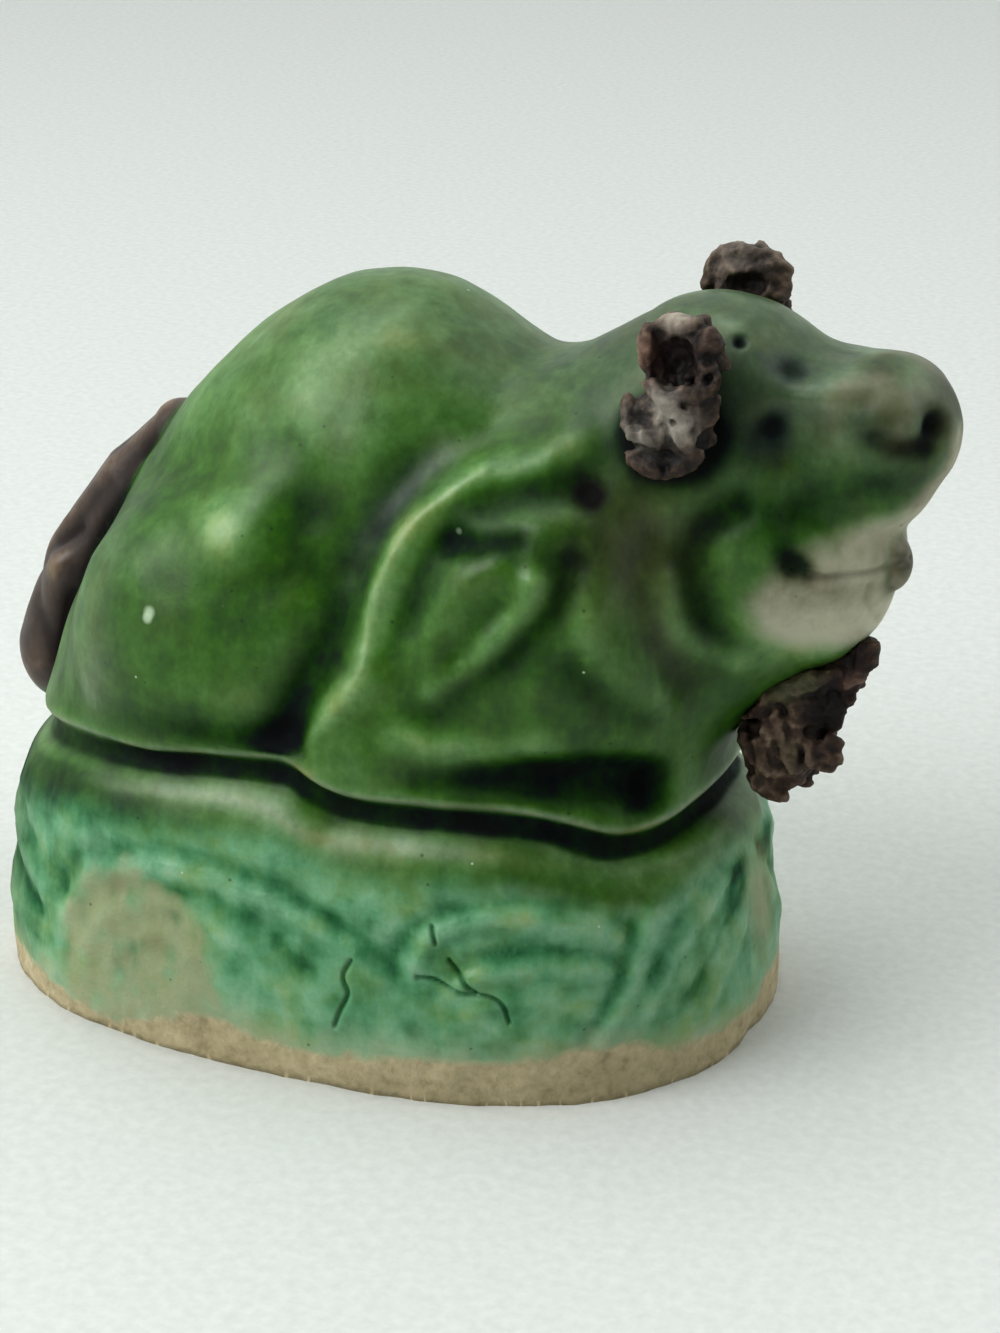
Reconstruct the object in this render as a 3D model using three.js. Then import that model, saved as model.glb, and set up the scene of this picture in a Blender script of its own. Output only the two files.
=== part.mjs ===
// A small crouching foo dog figurine of green-glazed ceramic, moulded in one with a wave plinth.
// Rough tufts of crumbed clay are its ears and beard.
// Millimetres, +Z up. The figure looks along +X, its right flank is towards -Y.
// The origin is the centre of the plinth's flat underside.
import * as THREE from "three";

// Driving dimensions of the plinth
const PLINTH_HALF_LENGTH = 27.9;
const PLINTH_HALF_WIDTH = 19.8;
const PLINTH_REAR_POWER = 2.8;
const PLINTH_FRONT_POWER = 2.4;
const WALL_BULGE = 0.6;
const WALL_TAPER = 0.05;
const SHOULDER_ROUNDING = 3.4;
const WAIST_HEIGHT = 19.7;
const GROOVE_RADIUS = 1.1;
const GROOVE_INSET = 2.3;

// Rounded masses of the figure: centre, then one radius or three
const FIGURE_INSET = 2.6;
const HUMP = [1.1, 0, 41.3, 10.4];
const RUMP = [-12.4, 0, 24, 9.4];
const BARREL = [-1.6, 0, 29, 17.2, 14.6, 19.5];
const WITHERS = [5.2, 0, 35.8, 10.7];
const CHEST = [15.2, 0, 35.1, 12.5];
const NAPE = [13.3, 0, 36.4, 10];
const SKULL = [24, 0, 45.3, 7.7];
const HAUNCH = [-8.8, 9.8, 27.1, 10.6, 7.3, 10.8];
const FORELEG = [12, 8.5, 31, 11.5, 6.6, 12];
const MUZZLE_ROOT = [27, 0, 43.8, 6.6];
const MUZZLE_END = [35.7, 0, 45, 4.4];
const NOSE = [35.4, 0, 46.3, 3.2, 4.9, 3.8];
const BROW = [30.6, 2.5, 48.2, 4, 2.9, 1.4];
const UPPER_LIP = [33.3, 0, 41.3, 4.9, 4.9, 3.3];
const LOWER_JAW = [31, 0, 36.8, 5.9, 5.7, 5.1];
const CHIN = [32, 0, 33.4, 3.8];
const NECK_RING = [22, 0, 33, 9];
const THROAT = [30.3, 0, 30.8, 3];
const BREAST = [21.6, 0, 28.4, 7.6];
const CHEEK = [27, 4.4, 38, 5.5, 3.8, 6.5];
const LIP_CRUST = [36.8, -0.6, 36.7, 1.3, 1.6, 1.3];
const TAIL = [
  [-16.4, 0, 38.4, 2.3],
  [-20.2, 0, 34, 3],
  [-24, 0, 27.5, 3.9],
  [-26.3, 0, 20.2, 4.3],
  [-26, 0, 19, 3.2],
];

// Lines of the carving on both flanks and on the head
const BELLY_VALLEY = [
  [0.2, 17.4, 21.5],
  [1.6, 16.8, 27],
  [3.6, 14.6, 34.4],
  [7.6, 11.6, 41.4],
  [13.5, 7.8, 44.8],
];
const SHOULDER_RIM = [
  [0.4, 17.4, 21.5],
  [4.5, 16, 29.2],
  [4.4, 14.9, 33.3],
  [7.2, 13.2, 38.7],
  [11.4, 11.5, 41.9],
  [18, 8.5, 44.5],
];
const SHOULDER_CHANNEL = [
  [17.6, 9.6, 41.9],
  [12.5, 11.8, 40.8],
  [9.9, 12.8, 39.2],
  [8.1, 14.2, 34.5],
  [6.5, 14.9, 31.5],
];
const PAW_HOLLOW = [[9.9, 16.3, 22.8], [16.9, 14.1, 23], [20.3, 11.9, 22.8], [22.3, 9.7, 21.8]];
const HAUNCH_FOOT = [[-16.8, 14.7, 22.8], [-9, 17, 23.6], [-1, 17.2, 24.2]];
const NECK_RIDGE = [[20.6, 12, 37.3], [20, 13.2, 33.4], [20.9, 12.9, 31.2], [22.5, 11.3, 28.9]];
const NECK_GROOVE = [[22.4, 9.4, 39.5], [22.9, 10.8, 34.7], [24.2, 9, 30.1], [25.1, 7.1, 28.3]];
const JAW_RIDGE = [[23.8, 9.4, 36.1], [24.3, 9.2, 33.3], [25.2, 7.9, 31.2], [26.9, 5.9, 29.9]];
const CHEEK_FURROW = [[28.4, 7.5, 41.4], [25.6, 8.2, 38.4], [25.4, 8.2, 34.4], [26.8, 6.8, 31.7]];
const MUZZLE_FURROW = [[29.9, 7.1, 41.1], [32.6, 5.3, 40.6], [37.4, 3.3, 42.1]];
const LIPS = [[31.3, 6.9, 37.6], [33.9, 5, 37], [36.3, 2.4, 37]];
const KNEE = [-4.9, 13.8, 37.3];
const KNEE_CREASE = [
  [-14.4, 8.7, 37.7],
  [-9.6, 10.1, 40.6],
  [-5.1, 11.3, 42],
  [-0.9, 12.4, 40.8],
  [0.4, 14.2, 36],
];
const EYE = [29.5, 6.1, 46.1];
const BROW_HOLLOW = [30.5, 4, 49.6];
const NOSTRIL = [39.2, 2.6, 46.6];
const MOUTH_CORNER = [31.4, 6.8, 37.6];

// Lines of the leaf-shaped folds inside the right shoulder's rim
const LEAF_TOP = [[11.3, 13.1, 39.8], [14.5, 12.9, 40], [18.9, 11.9, 39.5]];
const LEAF_PIT = [12.6, 13.7, 38.4];
const LEAF_VEIN = [[13.5, 14.2, 37], [10.8, 14.9, 34.4], [9, 15.4, 31.1]];
const LEAF_EDGE = [[16.7, 13.8, 36.7], [14.6, 14.9, 32.9], [9.8, 15.6, 28.8]];
const ELBOW_GROOVE = [[18.5, 13, 37.4], [16.4, 14.6, 33.1], [10.1, 15.8, 27.3]];
const BREAST_FOLD = [[19.4, 13.7, 31.2], [22.9, 10.3, 26.9]];

// Tufts: their lumps, the size of the crumbs that stud them, and their clearance from the figure
const TUFT_GAP = 0.3;
const CRUMBS_PER_LUMP = 11;
const GOLDEN_TURN = Math.PI * (3 - Math.sqrt(5));
const EAR_CRUMB = 0.9;
const BEARD_CRUMB = 0.8;
const RIGHT_EAR = [[24.1, -7.3, 51.1, 2.7, 2.2, 2.6], [23.6, -9, 46.7, 3, 2.1, 3.1]];
const LEFT_EAR = [[23.5, 6.4, 52, 3, 2.3, 2.8], [23.3, 8.9, 47.2, 2.7, 2, 2.9]];
const BEARD = [
  [29, 0, 21.8, 3.2, 2.9, 3.3],
  [30.6, 0, 25.6, 2.7, 2.7, 2.6],
  [33, 0, 27.9, 1.8, 2, 1.8],
  [34.7, -0.5, 29.6, 0.9, 1.3, 1.1],
];

// Fields are below 0 inside a form and grow by about 1 for each millimetre outwards
const blend = (a, b, k) => {
  const h = Math.max(k - Math.abs(a - b), 0) / k;
  return Math.min(a, b) - (h * h * k) / 4;
};
const carve = (a, b, k) => -blend(-a, b, k);
const bell = (x, middle, width) => Math.exp(-(((x - middle) / width) ** 2));

function lump(p, [cx, cy, cz, rx, ry, rz], pitch = 0) {
  const x = p.x - cx;
  const z = p.z - cz;
  const a = (Math.cos(pitch) * x + Math.sin(pitch) * z) / rx;
  const b = (p.y - cy) / ry;
  const c = (Math.cos(pitch) * z - Math.sin(pitch) * x) / rz;
  const size = Math.hypot(a, b, c);
  const slope = Math.hypot(a / rx, b / ry, c / rz);
  return slope < 1e-9 ? -Math.min(rx, ry, rz) : (size * (size - 1)) / slope;
}

// How far along a leg from one point to another p lies, and its distance from that leg
function along(p, [ax, ay, az], [bx, by, bz]) {
  const [dx, dy, dz] = [bx - ax, by - ay, bz - az];
  const [px, py, pz] = [p.x - ax, p.y - ay, p.z - az];
  const t = THREE.MathUtils.clamp((px * dx + py * dy + pz * dz) / (dx * dx + dy * dy + dz * dz), 0, 1);
  return [t, Math.hypot(px - t * dx, py - t * dy, pz - t * dz)];
}

// A round limb from one ball to another
function limb(p, from, to) {
  const [t, distance] = along(p, from, to);
  return distance - THREE.MathUtils.lerp(from[3], to[3], t);
}

// A ridge (height above 0) or furrow (below 0) that follows a line, its height changing from end to end
function relief(p, line, width, startHeight, endHeight = startHeight) {
  let nearest = Infinity;
  let height = 0;
  for (let i = 0; i + 1 < line.length; i++) {
    const [t, distance] = along(p, line[i], line[i + 1]);
    if (distance >= nearest) continue;
    nearest = distance;
    height = THREE.MathUtils.lerp(startHeight, endHeight, (i + t) / (line.length - 1));
  }
  return -height * bell(nearest, 0, width);
}

const dimple = (p, [x, y, z], width, depth) => depth * bell(Math.hypot(p.x - x, p.y - y, p.z - z), 0, width);

// Distance outside the plinth's oval plan drawn in by inset
function oval(p, inset) {
  const halfLength = PLINTH_HALF_LENGTH - inset;
  const halfWidth = PLINTH_HALF_WIDTH - inset;
  const n = p.x > 0 ? PLINTH_FRONT_POWER : PLINTH_REAR_POWER;
  const a = Math.abs(p.x) / halfLength;
  const b = Math.abs(p.y) / halfWidth;
  const k = (a ** n + b ** n) ** (1 / n);
  if (k < 0.05) return -halfWidth;
  return ((k - 1) * k ** (n - 1)) / Math.hypot(a ** (n - 1) / halfLength, b ** (n - 1) / halfWidth);
}

// The waist groove wavers: it climbs to the belly, steps down under the elbow and sags round both ends
function waist(x) {
  const belly = 1.7 * bell(x, -1, x < -1 ? 10.5 : 3.2);
  return WAIST_HEIGHT + belly - 2.4 * bell(x, 22.2, 4.2) - 1.3 * bell(x, -25, 4.5);
}

function plinth(p) {
  const top = waist(p.x) + 0.6;
  const bulge = WALL_BULGE * bell(p.z, 5, 6);
  const rounding = SHOULDER_ROUNDING * Math.max(0, (p.z - top + 7) / 7) ** 2.6;
  return carve(oval(p, 0) - bulge + WALL_TAPER * p.z + rounding, top - p.z, 2);
}

// The trunk spreads to the plinth's plan as it comes down, with haunches and forelegs on its sides
function torso(p, m) {
  let d = limb(p, HUMP, RUMP);
  d = blend(d, lump(p, BARREL), 5);
  d = blend(d, limb(p, WITHERS, CHEST), 4);
  d = blend(d, limb(p, NAPE, SKULL), 2);
  const rise = Math.max(0, p.z - 20);
  const spread = oval(p, FIGURE_INSET) + 0.023 * rise ** 2 + 0.0143 * rise * Math.max(0, -p.x);
  d = blend(d, Math.max(spread, p.z - 34), 6);
  d = blend(d, lump(m, HAUNCH), 2.5);
  return blend(d, lump(m, FORELEG, -0.2), 2.5);
}

function head(p, m) {
  let d = limb(p, MUZZLE_ROOT, MUZZLE_END);
  d = blend(d, lump(p, NOSE, 0.08), 2);
  d = blend(d, lump(m, BROW), 1.5);
  d = blend(d, lump(p, UPPER_LIP), 1.5);
  d = blend(d, lump(p, LOWER_JAW, -0.2), 1.5);
  d = blend(d, limb(p, CHIN, NECK_RING), 1.5);
  d = blend(d, limb(p, THROAT, BREAST), 2);
  return blend(d, lump(m, CHEEK), 2);
}

// Furrows and ridges of the flank, near enough alike on both sides
function flankRelief(m) {
  let h = relief(m, BELLY_VALLEY, 2.1, -2.2, -0.3);
  h += dimple(m, KNEE, 3.3, -1.1);
  h += relief(m, KNEE_CREASE, 2.6, -0.4, -0.9);
  h += relief(m, SHOULDER_RIM, 1.5, 0.9);
  h += relief(m, SHOULDER_CHANNEL, 1.7, -1, -0.8);
  h += relief(m, PAW_HOLLOW, 1.6, -0.6, -2.4);
  h += relief(m, HAUNCH_FOOT, 1.5, -0.2, -0.8);
  return h - 0.6 * bell(Math.hypot(oval(m, FIGURE_INSET), m.z - waist(m.x) - 1.6), 0, 0.9);
}

// Leaf-shaped folds inside the shoulder's rim, on the right flank
function shoulderLeaf(m) {
  let h = dimple(m, LEAF_PIT, 1.7, 0.9);
  h += relief(m, LEAF_TOP, 1.2, 0.8);
  h += relief(m, LEAF_VEIN, 1.4, 0.7);
  h += relief(m, LEAF_EDGE, 1.2, 0.9);
  h += relief(m, ELBOW_GROOVE, 1.5, -1.6, -0.9);
  return h + relief(m, BREAST_FOLD, 1.5, -0.6);
}

// Rings of the neck, cheek furrow, eye, brow, nostril and mouth
function headRelief(m) {
  let h = relief(m, NECK_RIDGE, 1.4, 0.7);
  h += relief(m, NECK_GROOVE, 1.4, -1);
  h += relief(m, JAW_RIDGE, 1.2, 0.8);
  h += relief(m, CHEEK_FURROW, 1.6, -1.5, -1.1);
  h += relief(m, MUZZLE_FURROW, 1.5, -1, -0.4);
  h += relief(m, LIPS, 0.7, -0.7, -0.3);
  h += dimple(m, EYE, 1.5, 1.9);
  h += dimple(m, BROW_HOLLOW, 1.4, 0.5);
  h += dimple(m, NOSTRIL, 0.9, 1);
  return h + dimple(m, MOUTH_CORNER, 1.1, 1.3);
}

function tail(p) {
  let d = Infinity;
  for (let i = 0; i + 1 < TAIL.length; i++) d = Math.min(d, limb(p, TAIL[i], TAIL[i + 1]));
  return d;
}

// Figure, tail and plinth are one; the waist groove between figure and plinth runs out against the tail's foot
function body(p) {
  const m = { x: p.x, y: Math.abs(p.y), z: p.z };
  let d = blend(torso(p, m), head(p, m), 2);
  d = blend(d, lump(p, LIP_CRUST), 0.6);
  if (Math.abs(d) < 6) d += flankRelief(m) + headRelief(m);
  if (Math.abs(d) < 6 && p.y < 0) d += shoulderLeaf(m);
  const lowest = waist(p.x) - 4 - p.z;
  d = blend(Math.max(d, lowest), plinth(p), 1);
  d = carve(d, Math.hypot(oval(p, GROOVE_INSET), p.z - waist(p.x)) - GROOVE_RADIUS, 1.2);
  return blend(d, Math.max(tail(p), lowest), 0.8);
}

// A tuft is a row of lumps studded with crumbs set round each by the golden angle, kept clear of the figure
function tuft(p, lumps, crumbSize) {
  let d = Infinity;
  for (const [cx, cy, cz, rx, ry, rz] of lumps) {
    let clump = lump(p, [cx, cy, cz, rx, ry, rz]);
    for (let i = 0; i < CRUMBS_PER_LUMP; i++) {
      const up = 1 - (2 * i + 1) / CRUMBS_PER_LUMP;
      const ring = Math.sqrt(1 - up * up);
      const turn = GOLDEN_TURN * i + cz;
      const dx = p.x - cx - rx * ring * Math.cos(turn);
      const dy = p.y - cy - ry * ring * Math.sin(turn);
      const dz = p.z - cz - rz * up;
      clump = blend(clump, Math.hypot(dx, dy, dz) - crumbSize * (0.8 + 0.3 * Math.sin(5 * i)), 0.3);
    }
    d = blend(d, clump, 1.2);
  }
  return Math.max(d, TUFT_GAP - body(p));
}

// Samples a field on a grid of planes and returns the closed skin of its zero level.
// With a flat base the skin stops at the lowest plane and is closed by one flat face.
function skin(field, [xs, ys, zs], flatBase) {
  const [nx, ny, nz] = [xs.length, ys.length, zs.length];
  const at = (i, j, k) => (k * ny + j) * nx + i;
  const value = new Float64Array(nx * ny * nz);
  for (let k = 0; k < nz; k++)
    for (let j = 0; j < ny; j++)
      for (let i = 0; i < nx; i++) value[at(i, j, k)] = field({ x: xs[i], y: ys[j], z: zs[k] });
  untangle(value, [1, nx, nx * ny], at(nx - 2, ny - 2, nz - 2));
  const corners = [0, 1, 2, 3, 4, 5, 6, 7].map((c) => [c & 1, (c >> 1) & 1, c >> 2]);
  const edges = [];
  for (let a = 0; a < 8; a++) for (const bit of [1, 2, 4]) if (!(a & bit)) edges.push([a, a | bit]);
  const vertex = new Int32Array(nx * ny * nz).fill(-1);
  const points = [];
  for (let k = 0; k < nz - 1; k++)
    for (let j = 0; j < ny - 1; j++)
      for (let i = 0; i < nx - 1; i++) {
        const v = corners.map(([a, b, c]) => value[at(i + a, j + b, k + c)]);
        if (v.every((s) => s < 0) || v.every((s) => s >= 0)) continue;
        const sum = new THREE.Vector3();
        let n = 0;
        for (const [a, b] of edges) {
          if (v[a] < 0 === v[b] < 0) continue;
          const t = v[a] / (v[a] - v[b]);
          const [from, to] = [a, b].map(
            (c) => new THREE.Vector3(xs[i + corners[c][0]], ys[j + corners[c][1]], zs[k + corners[c][2]]),
          );
          sum.add(from.lerp(to, t));
          n++;
        }
        vertex[at(i, j, k)] = points.length;
        points.push(settle(field, sum.divideScalar(n), flatBase && k === 0 ? zs[0] : null));
      }
  const index = [];
  const quad = (corner, turn) => {
    const [a, b, c, d] = turn ? corner : [corner[0], corner[3], corner[2], corner[1]];
    if (points[a].distanceTo(points[c]) < points[b].distanceTo(points[d])) index.push(a, b, c, a, c, d);
    else index.push(a, b, d, b, c, d);
  };
  for (let k = 1; k < nz - 1; k++)
    for (let j = 1; j < ny - 1; j++)
      for (let i = 1; i < nx - 1; i++) {
        const inside = value[at(i, j, k)] < 0;
        const V = (a, b, c) => vertex[at(i + a, j + b, k + c)];
        const own = V(0, 0, 0);
        const crosses = (a, b, c) => inside !== value[at(i + a, j + b, k + c)] < 0;
        if (crosses(1, 0, 0)) quad([own, V(0, -1, 0), V(0, -1, -1), V(0, 0, -1)], inside);
        if (crosses(0, 1, 0)) quad([own, V(0, 0, -1), V(-1, 0, -1), V(-1, 0, 0)], inside);
        if (crosses(0, 0, 1)) quad([own, V(-1, 0, 0), V(-1, -1, 0), V(0, -1, 0)], inside);
      }
  if (flatBase) closeBase(points, index);
  const geometry = new THREE.BufferGeometry().setFromPoints(points);
  geometry.setIndex(index);
  return geometry;
}

// Where a grid square's opposite corners are alike, its weakest corner gives way.
// Without this an edge there would be shared by four faces.
function untangle(value, strides, last) {
  let tangled = true;
  while (tangled) {
    tangled = false;
    for (let o = 0; o < last; o++)
      for (const [a, b] of [[0, 1], [1, 2], [2, 0]]) {
        const square = [o, o + strides[a], o + strides[a] + strides[b], o + strides[b]];
        const [p, q, r, s] = square.map((c) => value[c] < 0);
        if (p !== r || q !== s || p === q) continue;
        const weakest = square.reduce((c, d) => (Math.abs(value[d]) < Math.abs(value[c]) ? d : c));
        value[weakest] = value[weakest] < 0 ? 0.01 : -0.01;
        tangled = true;
      }
  }
}

// Moves a vertex onto the surface along the field's own slope, and keeps it at a set height if one is given
function settle(field, point, height) {
  const e = 0.05;
  if (height !== null) point.z = height;
  for (let pass = 0; pass < 4; pass++) {
    const { x, y, z } = point;
    const slope = new THREE.Vector3(
      field({ x: x + e, y, z }) - field({ x: x - e, y, z }),
      field({ x, y: y + e, z }) - field({ x, y: y - e, z }),
      height === null ? field({ x, y, z: z + e }) - field({ x, y, z: z - e }) : 0,
    ).divideScalar(2 * e);
    const move = (0.7 * field(point)) / Math.max(slope.lengthSq(), 0.25);
    point.addScaledVector(slope, -THREE.MathUtils.clamp(move, -0.4, 0.4));
  }
  return point;
}

// Follows the open rim round and fills it with flat triangles that face down
function closeBase(points, index) {
  const next = new Map();
  const used = new Set();
  for (let i = 0; i < index.length; i += 3)
    for (let c = 0; c < 3; c++) used.add(`${index[i + c]} ${index[i + ((c + 1) % 3)]}`);
  for (const side of used) {
    const [a, b] = side.split(" ").map(Number);
    if (!used.has(`${b} ${a}`)) next.set(b, a);
  }
  const loop = [next.keys().next().value];
  while (next.get(loop.at(-1)) !== loop[0]) loop.push(next.get(loop.at(-1)));
  const outline = loop.map((v) => new THREE.Vector2(points[v].x, points[v].y));
  for (const face of THREE.ShapeUtils.triangulateShape(outline, [])) {
    if (THREE.ShapeUtils.area(face.map((v) => outline[v])) > 0) face.reverse();
    index.push(...face.map((v) => loop[v]));
  }
}

// Planes from a first place, then step by step to each next place
const planes = (...stops) => {
  const list = [stops[0]];
  for (let s = 1; s < stops.length; s += 2) {
    const [from, step, to] = [list.at(-1), stops[s], stops[s + 1]];
    const n = Math.round((to - from) / step);
    for (let i = 1; i <= n; i++) list.push(from + ((to - from) * i) / n);
  }
  return list;
};

// The figure's planes lie closest at its head and across its waist
const FIGURE_PLANES = [
  planes(-34, 2.1, 0, 1.6, 44),
  planes(-23, 1.85, 23),
  planes(0, 2.7, 16.2, 1, 23.2, 1.7, 57),
];
const RIGHT_EAR_PLANES = [planes(18, 1, 30), planes(-14, 1, -2), planes(41, 1, 57)];
const LEFT_EAR_PLANES = [planes(18, 1, 30), planes(2, 1, 14), planes(41, 1, 57)];
const BEARD_PLANES = [planes(23, 1, 39), planes(-7, 1, 7), planes(16, 1, 33)];

const group = new THREE.Group();
function add(name, color, roughness, geometry) {
  const mesh = new THREE.Mesh(geometry, new THREE.MeshStandardMaterial({ color, roughness, metalness: 0 }));
  mesh.name = name;
  group.add(mesh);
}

add("foo_dog_on_plinth", "#3f7a34", 0.25, skin(body, FIGURE_PLANES, true));
add("ear_tuft_right", "#4a3a34", 0.85, skin((p) => tuft(p, RIGHT_EAR, EAR_CRUMB), RIGHT_EAR_PLANES, false));
add("ear_tuft_left", "#4a3a34", 0.85, skin((p) => tuft(p, LEFT_EAR, EAR_CRUMB), LEFT_EAR_PLANES, false));
add("beard_tuft", "#4b3a35", 0.85, skin((p) => tuft(p, BEARD, BEARD_CRUMB), BEARD_PLANES, false));

export default group;
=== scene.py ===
import math

import bmesh
import bpy
import numpy as np
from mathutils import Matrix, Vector, noise


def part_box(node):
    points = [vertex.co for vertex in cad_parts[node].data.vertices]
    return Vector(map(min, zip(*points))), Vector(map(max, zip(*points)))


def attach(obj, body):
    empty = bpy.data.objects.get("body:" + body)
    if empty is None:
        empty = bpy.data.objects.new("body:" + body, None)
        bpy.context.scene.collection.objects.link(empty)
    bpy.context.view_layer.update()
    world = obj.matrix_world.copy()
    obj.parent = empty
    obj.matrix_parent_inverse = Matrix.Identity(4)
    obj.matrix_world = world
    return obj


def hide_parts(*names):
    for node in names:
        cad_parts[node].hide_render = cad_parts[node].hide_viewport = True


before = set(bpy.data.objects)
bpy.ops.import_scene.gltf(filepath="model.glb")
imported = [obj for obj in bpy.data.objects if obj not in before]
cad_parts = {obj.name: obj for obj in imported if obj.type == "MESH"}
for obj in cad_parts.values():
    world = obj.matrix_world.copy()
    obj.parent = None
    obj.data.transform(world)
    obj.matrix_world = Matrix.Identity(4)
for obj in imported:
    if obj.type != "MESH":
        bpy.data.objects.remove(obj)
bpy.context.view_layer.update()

# The camera stands a hand's breadth above the table, off the figurine's right shoulder, with a long lens.
# Its place, turn and lens give the photograph's view.
CAMERA_PLACE = Vector((0.08369, -0.17794, 0.10614))
CAMERA_TARGET = Vector((0.00816, 0.0, 0.02409))
CAMERA_LENS_MM = 80.5
camera_data = bpy.data.cameras.new("close_up_camera")
camera_data.sensor_fit = "VERTICAL"
camera_data.sensor_height = 36
camera_data.lens = CAMERA_LENS_MM
camera_data.clip_start = 0.01
camera = bpy.data.objects.new("close_up_camera", camera_data)
camera.location = CAMERA_PLACE
camera.rotation_euler = (CAMERA_TARGET - CAMERA_PLACE).to_track_quat("-Z", "Y").to_euler()
bpy.context.collection.objects.link(camera)
bpy.context.scene.camera = camera
bpy.context.scene.view_settings.view_transform = "Standard"
bpy.context.scene.view_settings.gamma = 0.82

# The dog and its plinth are one press-moulded hollow of buff clay, bisque fired, dipped in lead glaze and fired again.
# The moulded form is soft, because clay shrinks in the mould and the glaze fills its hollows.
# Lengths in this section are millimetres; the mesh is turned to metres when it is written back.
MM = 0.001
PLINTH_HALF_LENGTH = 27.9
PLINTH_HALF_WIDTH = 19.8
PLINTH_REAR_POWER = 2.8
PLINTH_FRONT_POWER = 2.4
GROOVE_INSET = 2.3
GROOVE_RADIUS = 1.1
FIGURE_INSET = 2.6


def blend(a, b, k):
    h = np.maximum(k - np.abs(a - b), 0) / k
    return np.minimum(a, b) - h * h * k / 4


def bell(distance, width):
    return np.exp(-((distance / width) ** 2))


def ramp(value, start, end):
    t = np.clip((value - start) / (end - start), 0, 1)
    return t * t * (3 - 2 * t)


def ellipsoid(p, centre, radii, pitch=0.0):
    x, y, z = (p - np.array(centre, float)).T
    c, s = math.cos(pitch), math.sin(pitch)
    q = np.array([c * x + s * z, y, c * z - s * x]) / np.array(radii, float)[:, None]
    size = np.linalg.norm(q, axis=0)
    slope = np.linalg.norm(q / np.array(radii, float)[:, None], axis=0)
    return size * (size - 1) / np.maximum(slope, 1e-9)


def along(p, a, b):
    a, b = np.array(a, float), np.array(b, float)
    t = np.clip((p - a) @ (b - a) / ((b - a) @ (b - a)), 0, 1)
    return t, np.linalg.norm(p - a - t[:, None] * (b - a), axis=1)


def limb(p, a, b, start_radius, end_radius):
    t, distance = along(p, a, b)
    return distance - (start_radius + (end_radius - start_radius) * t)


def oval(p, inset):
    half = np.array([PLINTH_HALF_LENGTH, PLINTH_HALF_WIDTH]) - inset
    n = np.where(p[:, 0] > 0, PLINTH_FRONT_POWER, PLINTH_REAR_POWER)
    a, b = np.maximum(np.abs(p[:, :2]) / half, 1e-6).T
    k = np.maximum((a**n + b**n) ** (1 / n), 0.05)
    return (k - 1) * k ** (n - 1) / np.hypot(a ** (n - 1) / half[0], b ** (n - 1) / half[1])


def waist(x):
    belly = 1.7 * bell(x + 1, np.where(x < -1, 10.5, 3.2))
    return 19.7 + belly - 2.4 * bell(x - 22.2, 4.2) - 1.3 * bell(x + 25, 4.5)


def plinth(p):
    z, top = p[:, 2], waist(p[:, 0]) + 0.6
    shoulder = 3.4 * np.maximum(0, (z - top + 7) / 7) ** 2.6
    wall = oval(p, 0) - 0.6 * bell(z - 5, 6) + 0.05 * z + shoulder
    return -blend(-wall, top - z, 2)


def both_sides(p):
    return p * np.where(p[:, 1:2] < 0, [[1, -1, 1]], [[1, 1, 1]])


def tail(p):
    spine = [(-16.4, 0, 38.4), (-20.2, 0, 34), (-24, 0, 27.5), (-26.3, 0, 20.2), (-26, 0, 19)]
    radii = [2.3, 3, 3.9, 4.3, 3.2]
    legs = [limb(p, spine[i], spine[i + 1], radii[i], radii[i + 1]) for i in range(4)]
    return np.min(legs, axis=0)


def animal(p):
    """The modelled masses of the body and head, before any carving."""
    m = both_sides(p)
    d = limb(p, (1.1, 0, 41.3), (-12.4, 0, 24), 10.4, 9.4)
    d = blend(d, ellipsoid(p, (-1.6, 0, 29), (17.2, 14.6, 19.5)), 5)
    d = blend(d, limb(p, (5.2, 0, 35.8), (15.2, 0, 35.1), 10.7, 12.5), 4)
    d = blend(d, limb(p, (13.3, 0, 36.4), (24, 0, 45.3), 10, 7.7), 2)
    rise = np.maximum(0, p[:, 2] - 20)
    spread = oval(p, FIGURE_INSET) + 0.023 * rise**2 + 0.0143 * rise * np.maximum(0, -p[:, 0])
    d = blend(d, np.maximum(spread, p[:, 2] - 34), 6)
    d = blend(d, ellipsoid(m, (-8.8, 9.8, 27.1), (10.6, 7.3, 10.8)), 2.5)
    d = blend(d, ellipsoid(m, (12, 8.5, 31), (11.5, 6.6, 12), -0.2), 2.5)
    h = limb(p, (27, 0, 43.8), (35.7, 0, 45), 6.6, 4.4)
    h = blend(h, ellipsoid(p, (35.4, 0, 46.3), (3.2, 4.9, 3.8), 0.08), 2)
    h = blend(h, ellipsoid(m, (30.6, 2.5, 48.2), (4, 2.9, 1.4)), 1.5)
    h = blend(h, ellipsoid(p, (33.3, 0, 41.3), (4.9, 4.9, 3.3)), 1.5)
    h = blend(h, ellipsoid(p, (31, 0, 36.8), (5.9, 5.7, 5.1), -0.2), 1.5)
    h = blend(h, limb(p, (32, 0, 33.4), (22, 0, 33), 3.8, 9), 1.5)
    h = blend(h, limb(p, (30.3, 0, 30.8), (21.6, 0, 28.4), 3, 7.6), 2)
    h = blend(h, ellipsoid(m, (27, 4.4, 38), (5.5, 3.8, 6.5)), 2)
    return blend(blend(d, h, 2), ellipsoid(p, (36.4, -0.6, 36.3), (1.2, 1.6, 1.8)), 0.5)


def moulding(p):
    lowest = waist(p[:, 0]) - 4 - p[:, 2]
    d = blend(np.maximum(animal(p), lowest), plinth(p), 1)
    groove = np.hypot(oval(p, GROOVE_INSET), p[:, 2] - waist(p[:, 0])) - GROOVE_RADIUS
    return blend(-blend(-d, groove, 1.2), np.maximum(tail(p), lowest), 0.8)


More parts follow.
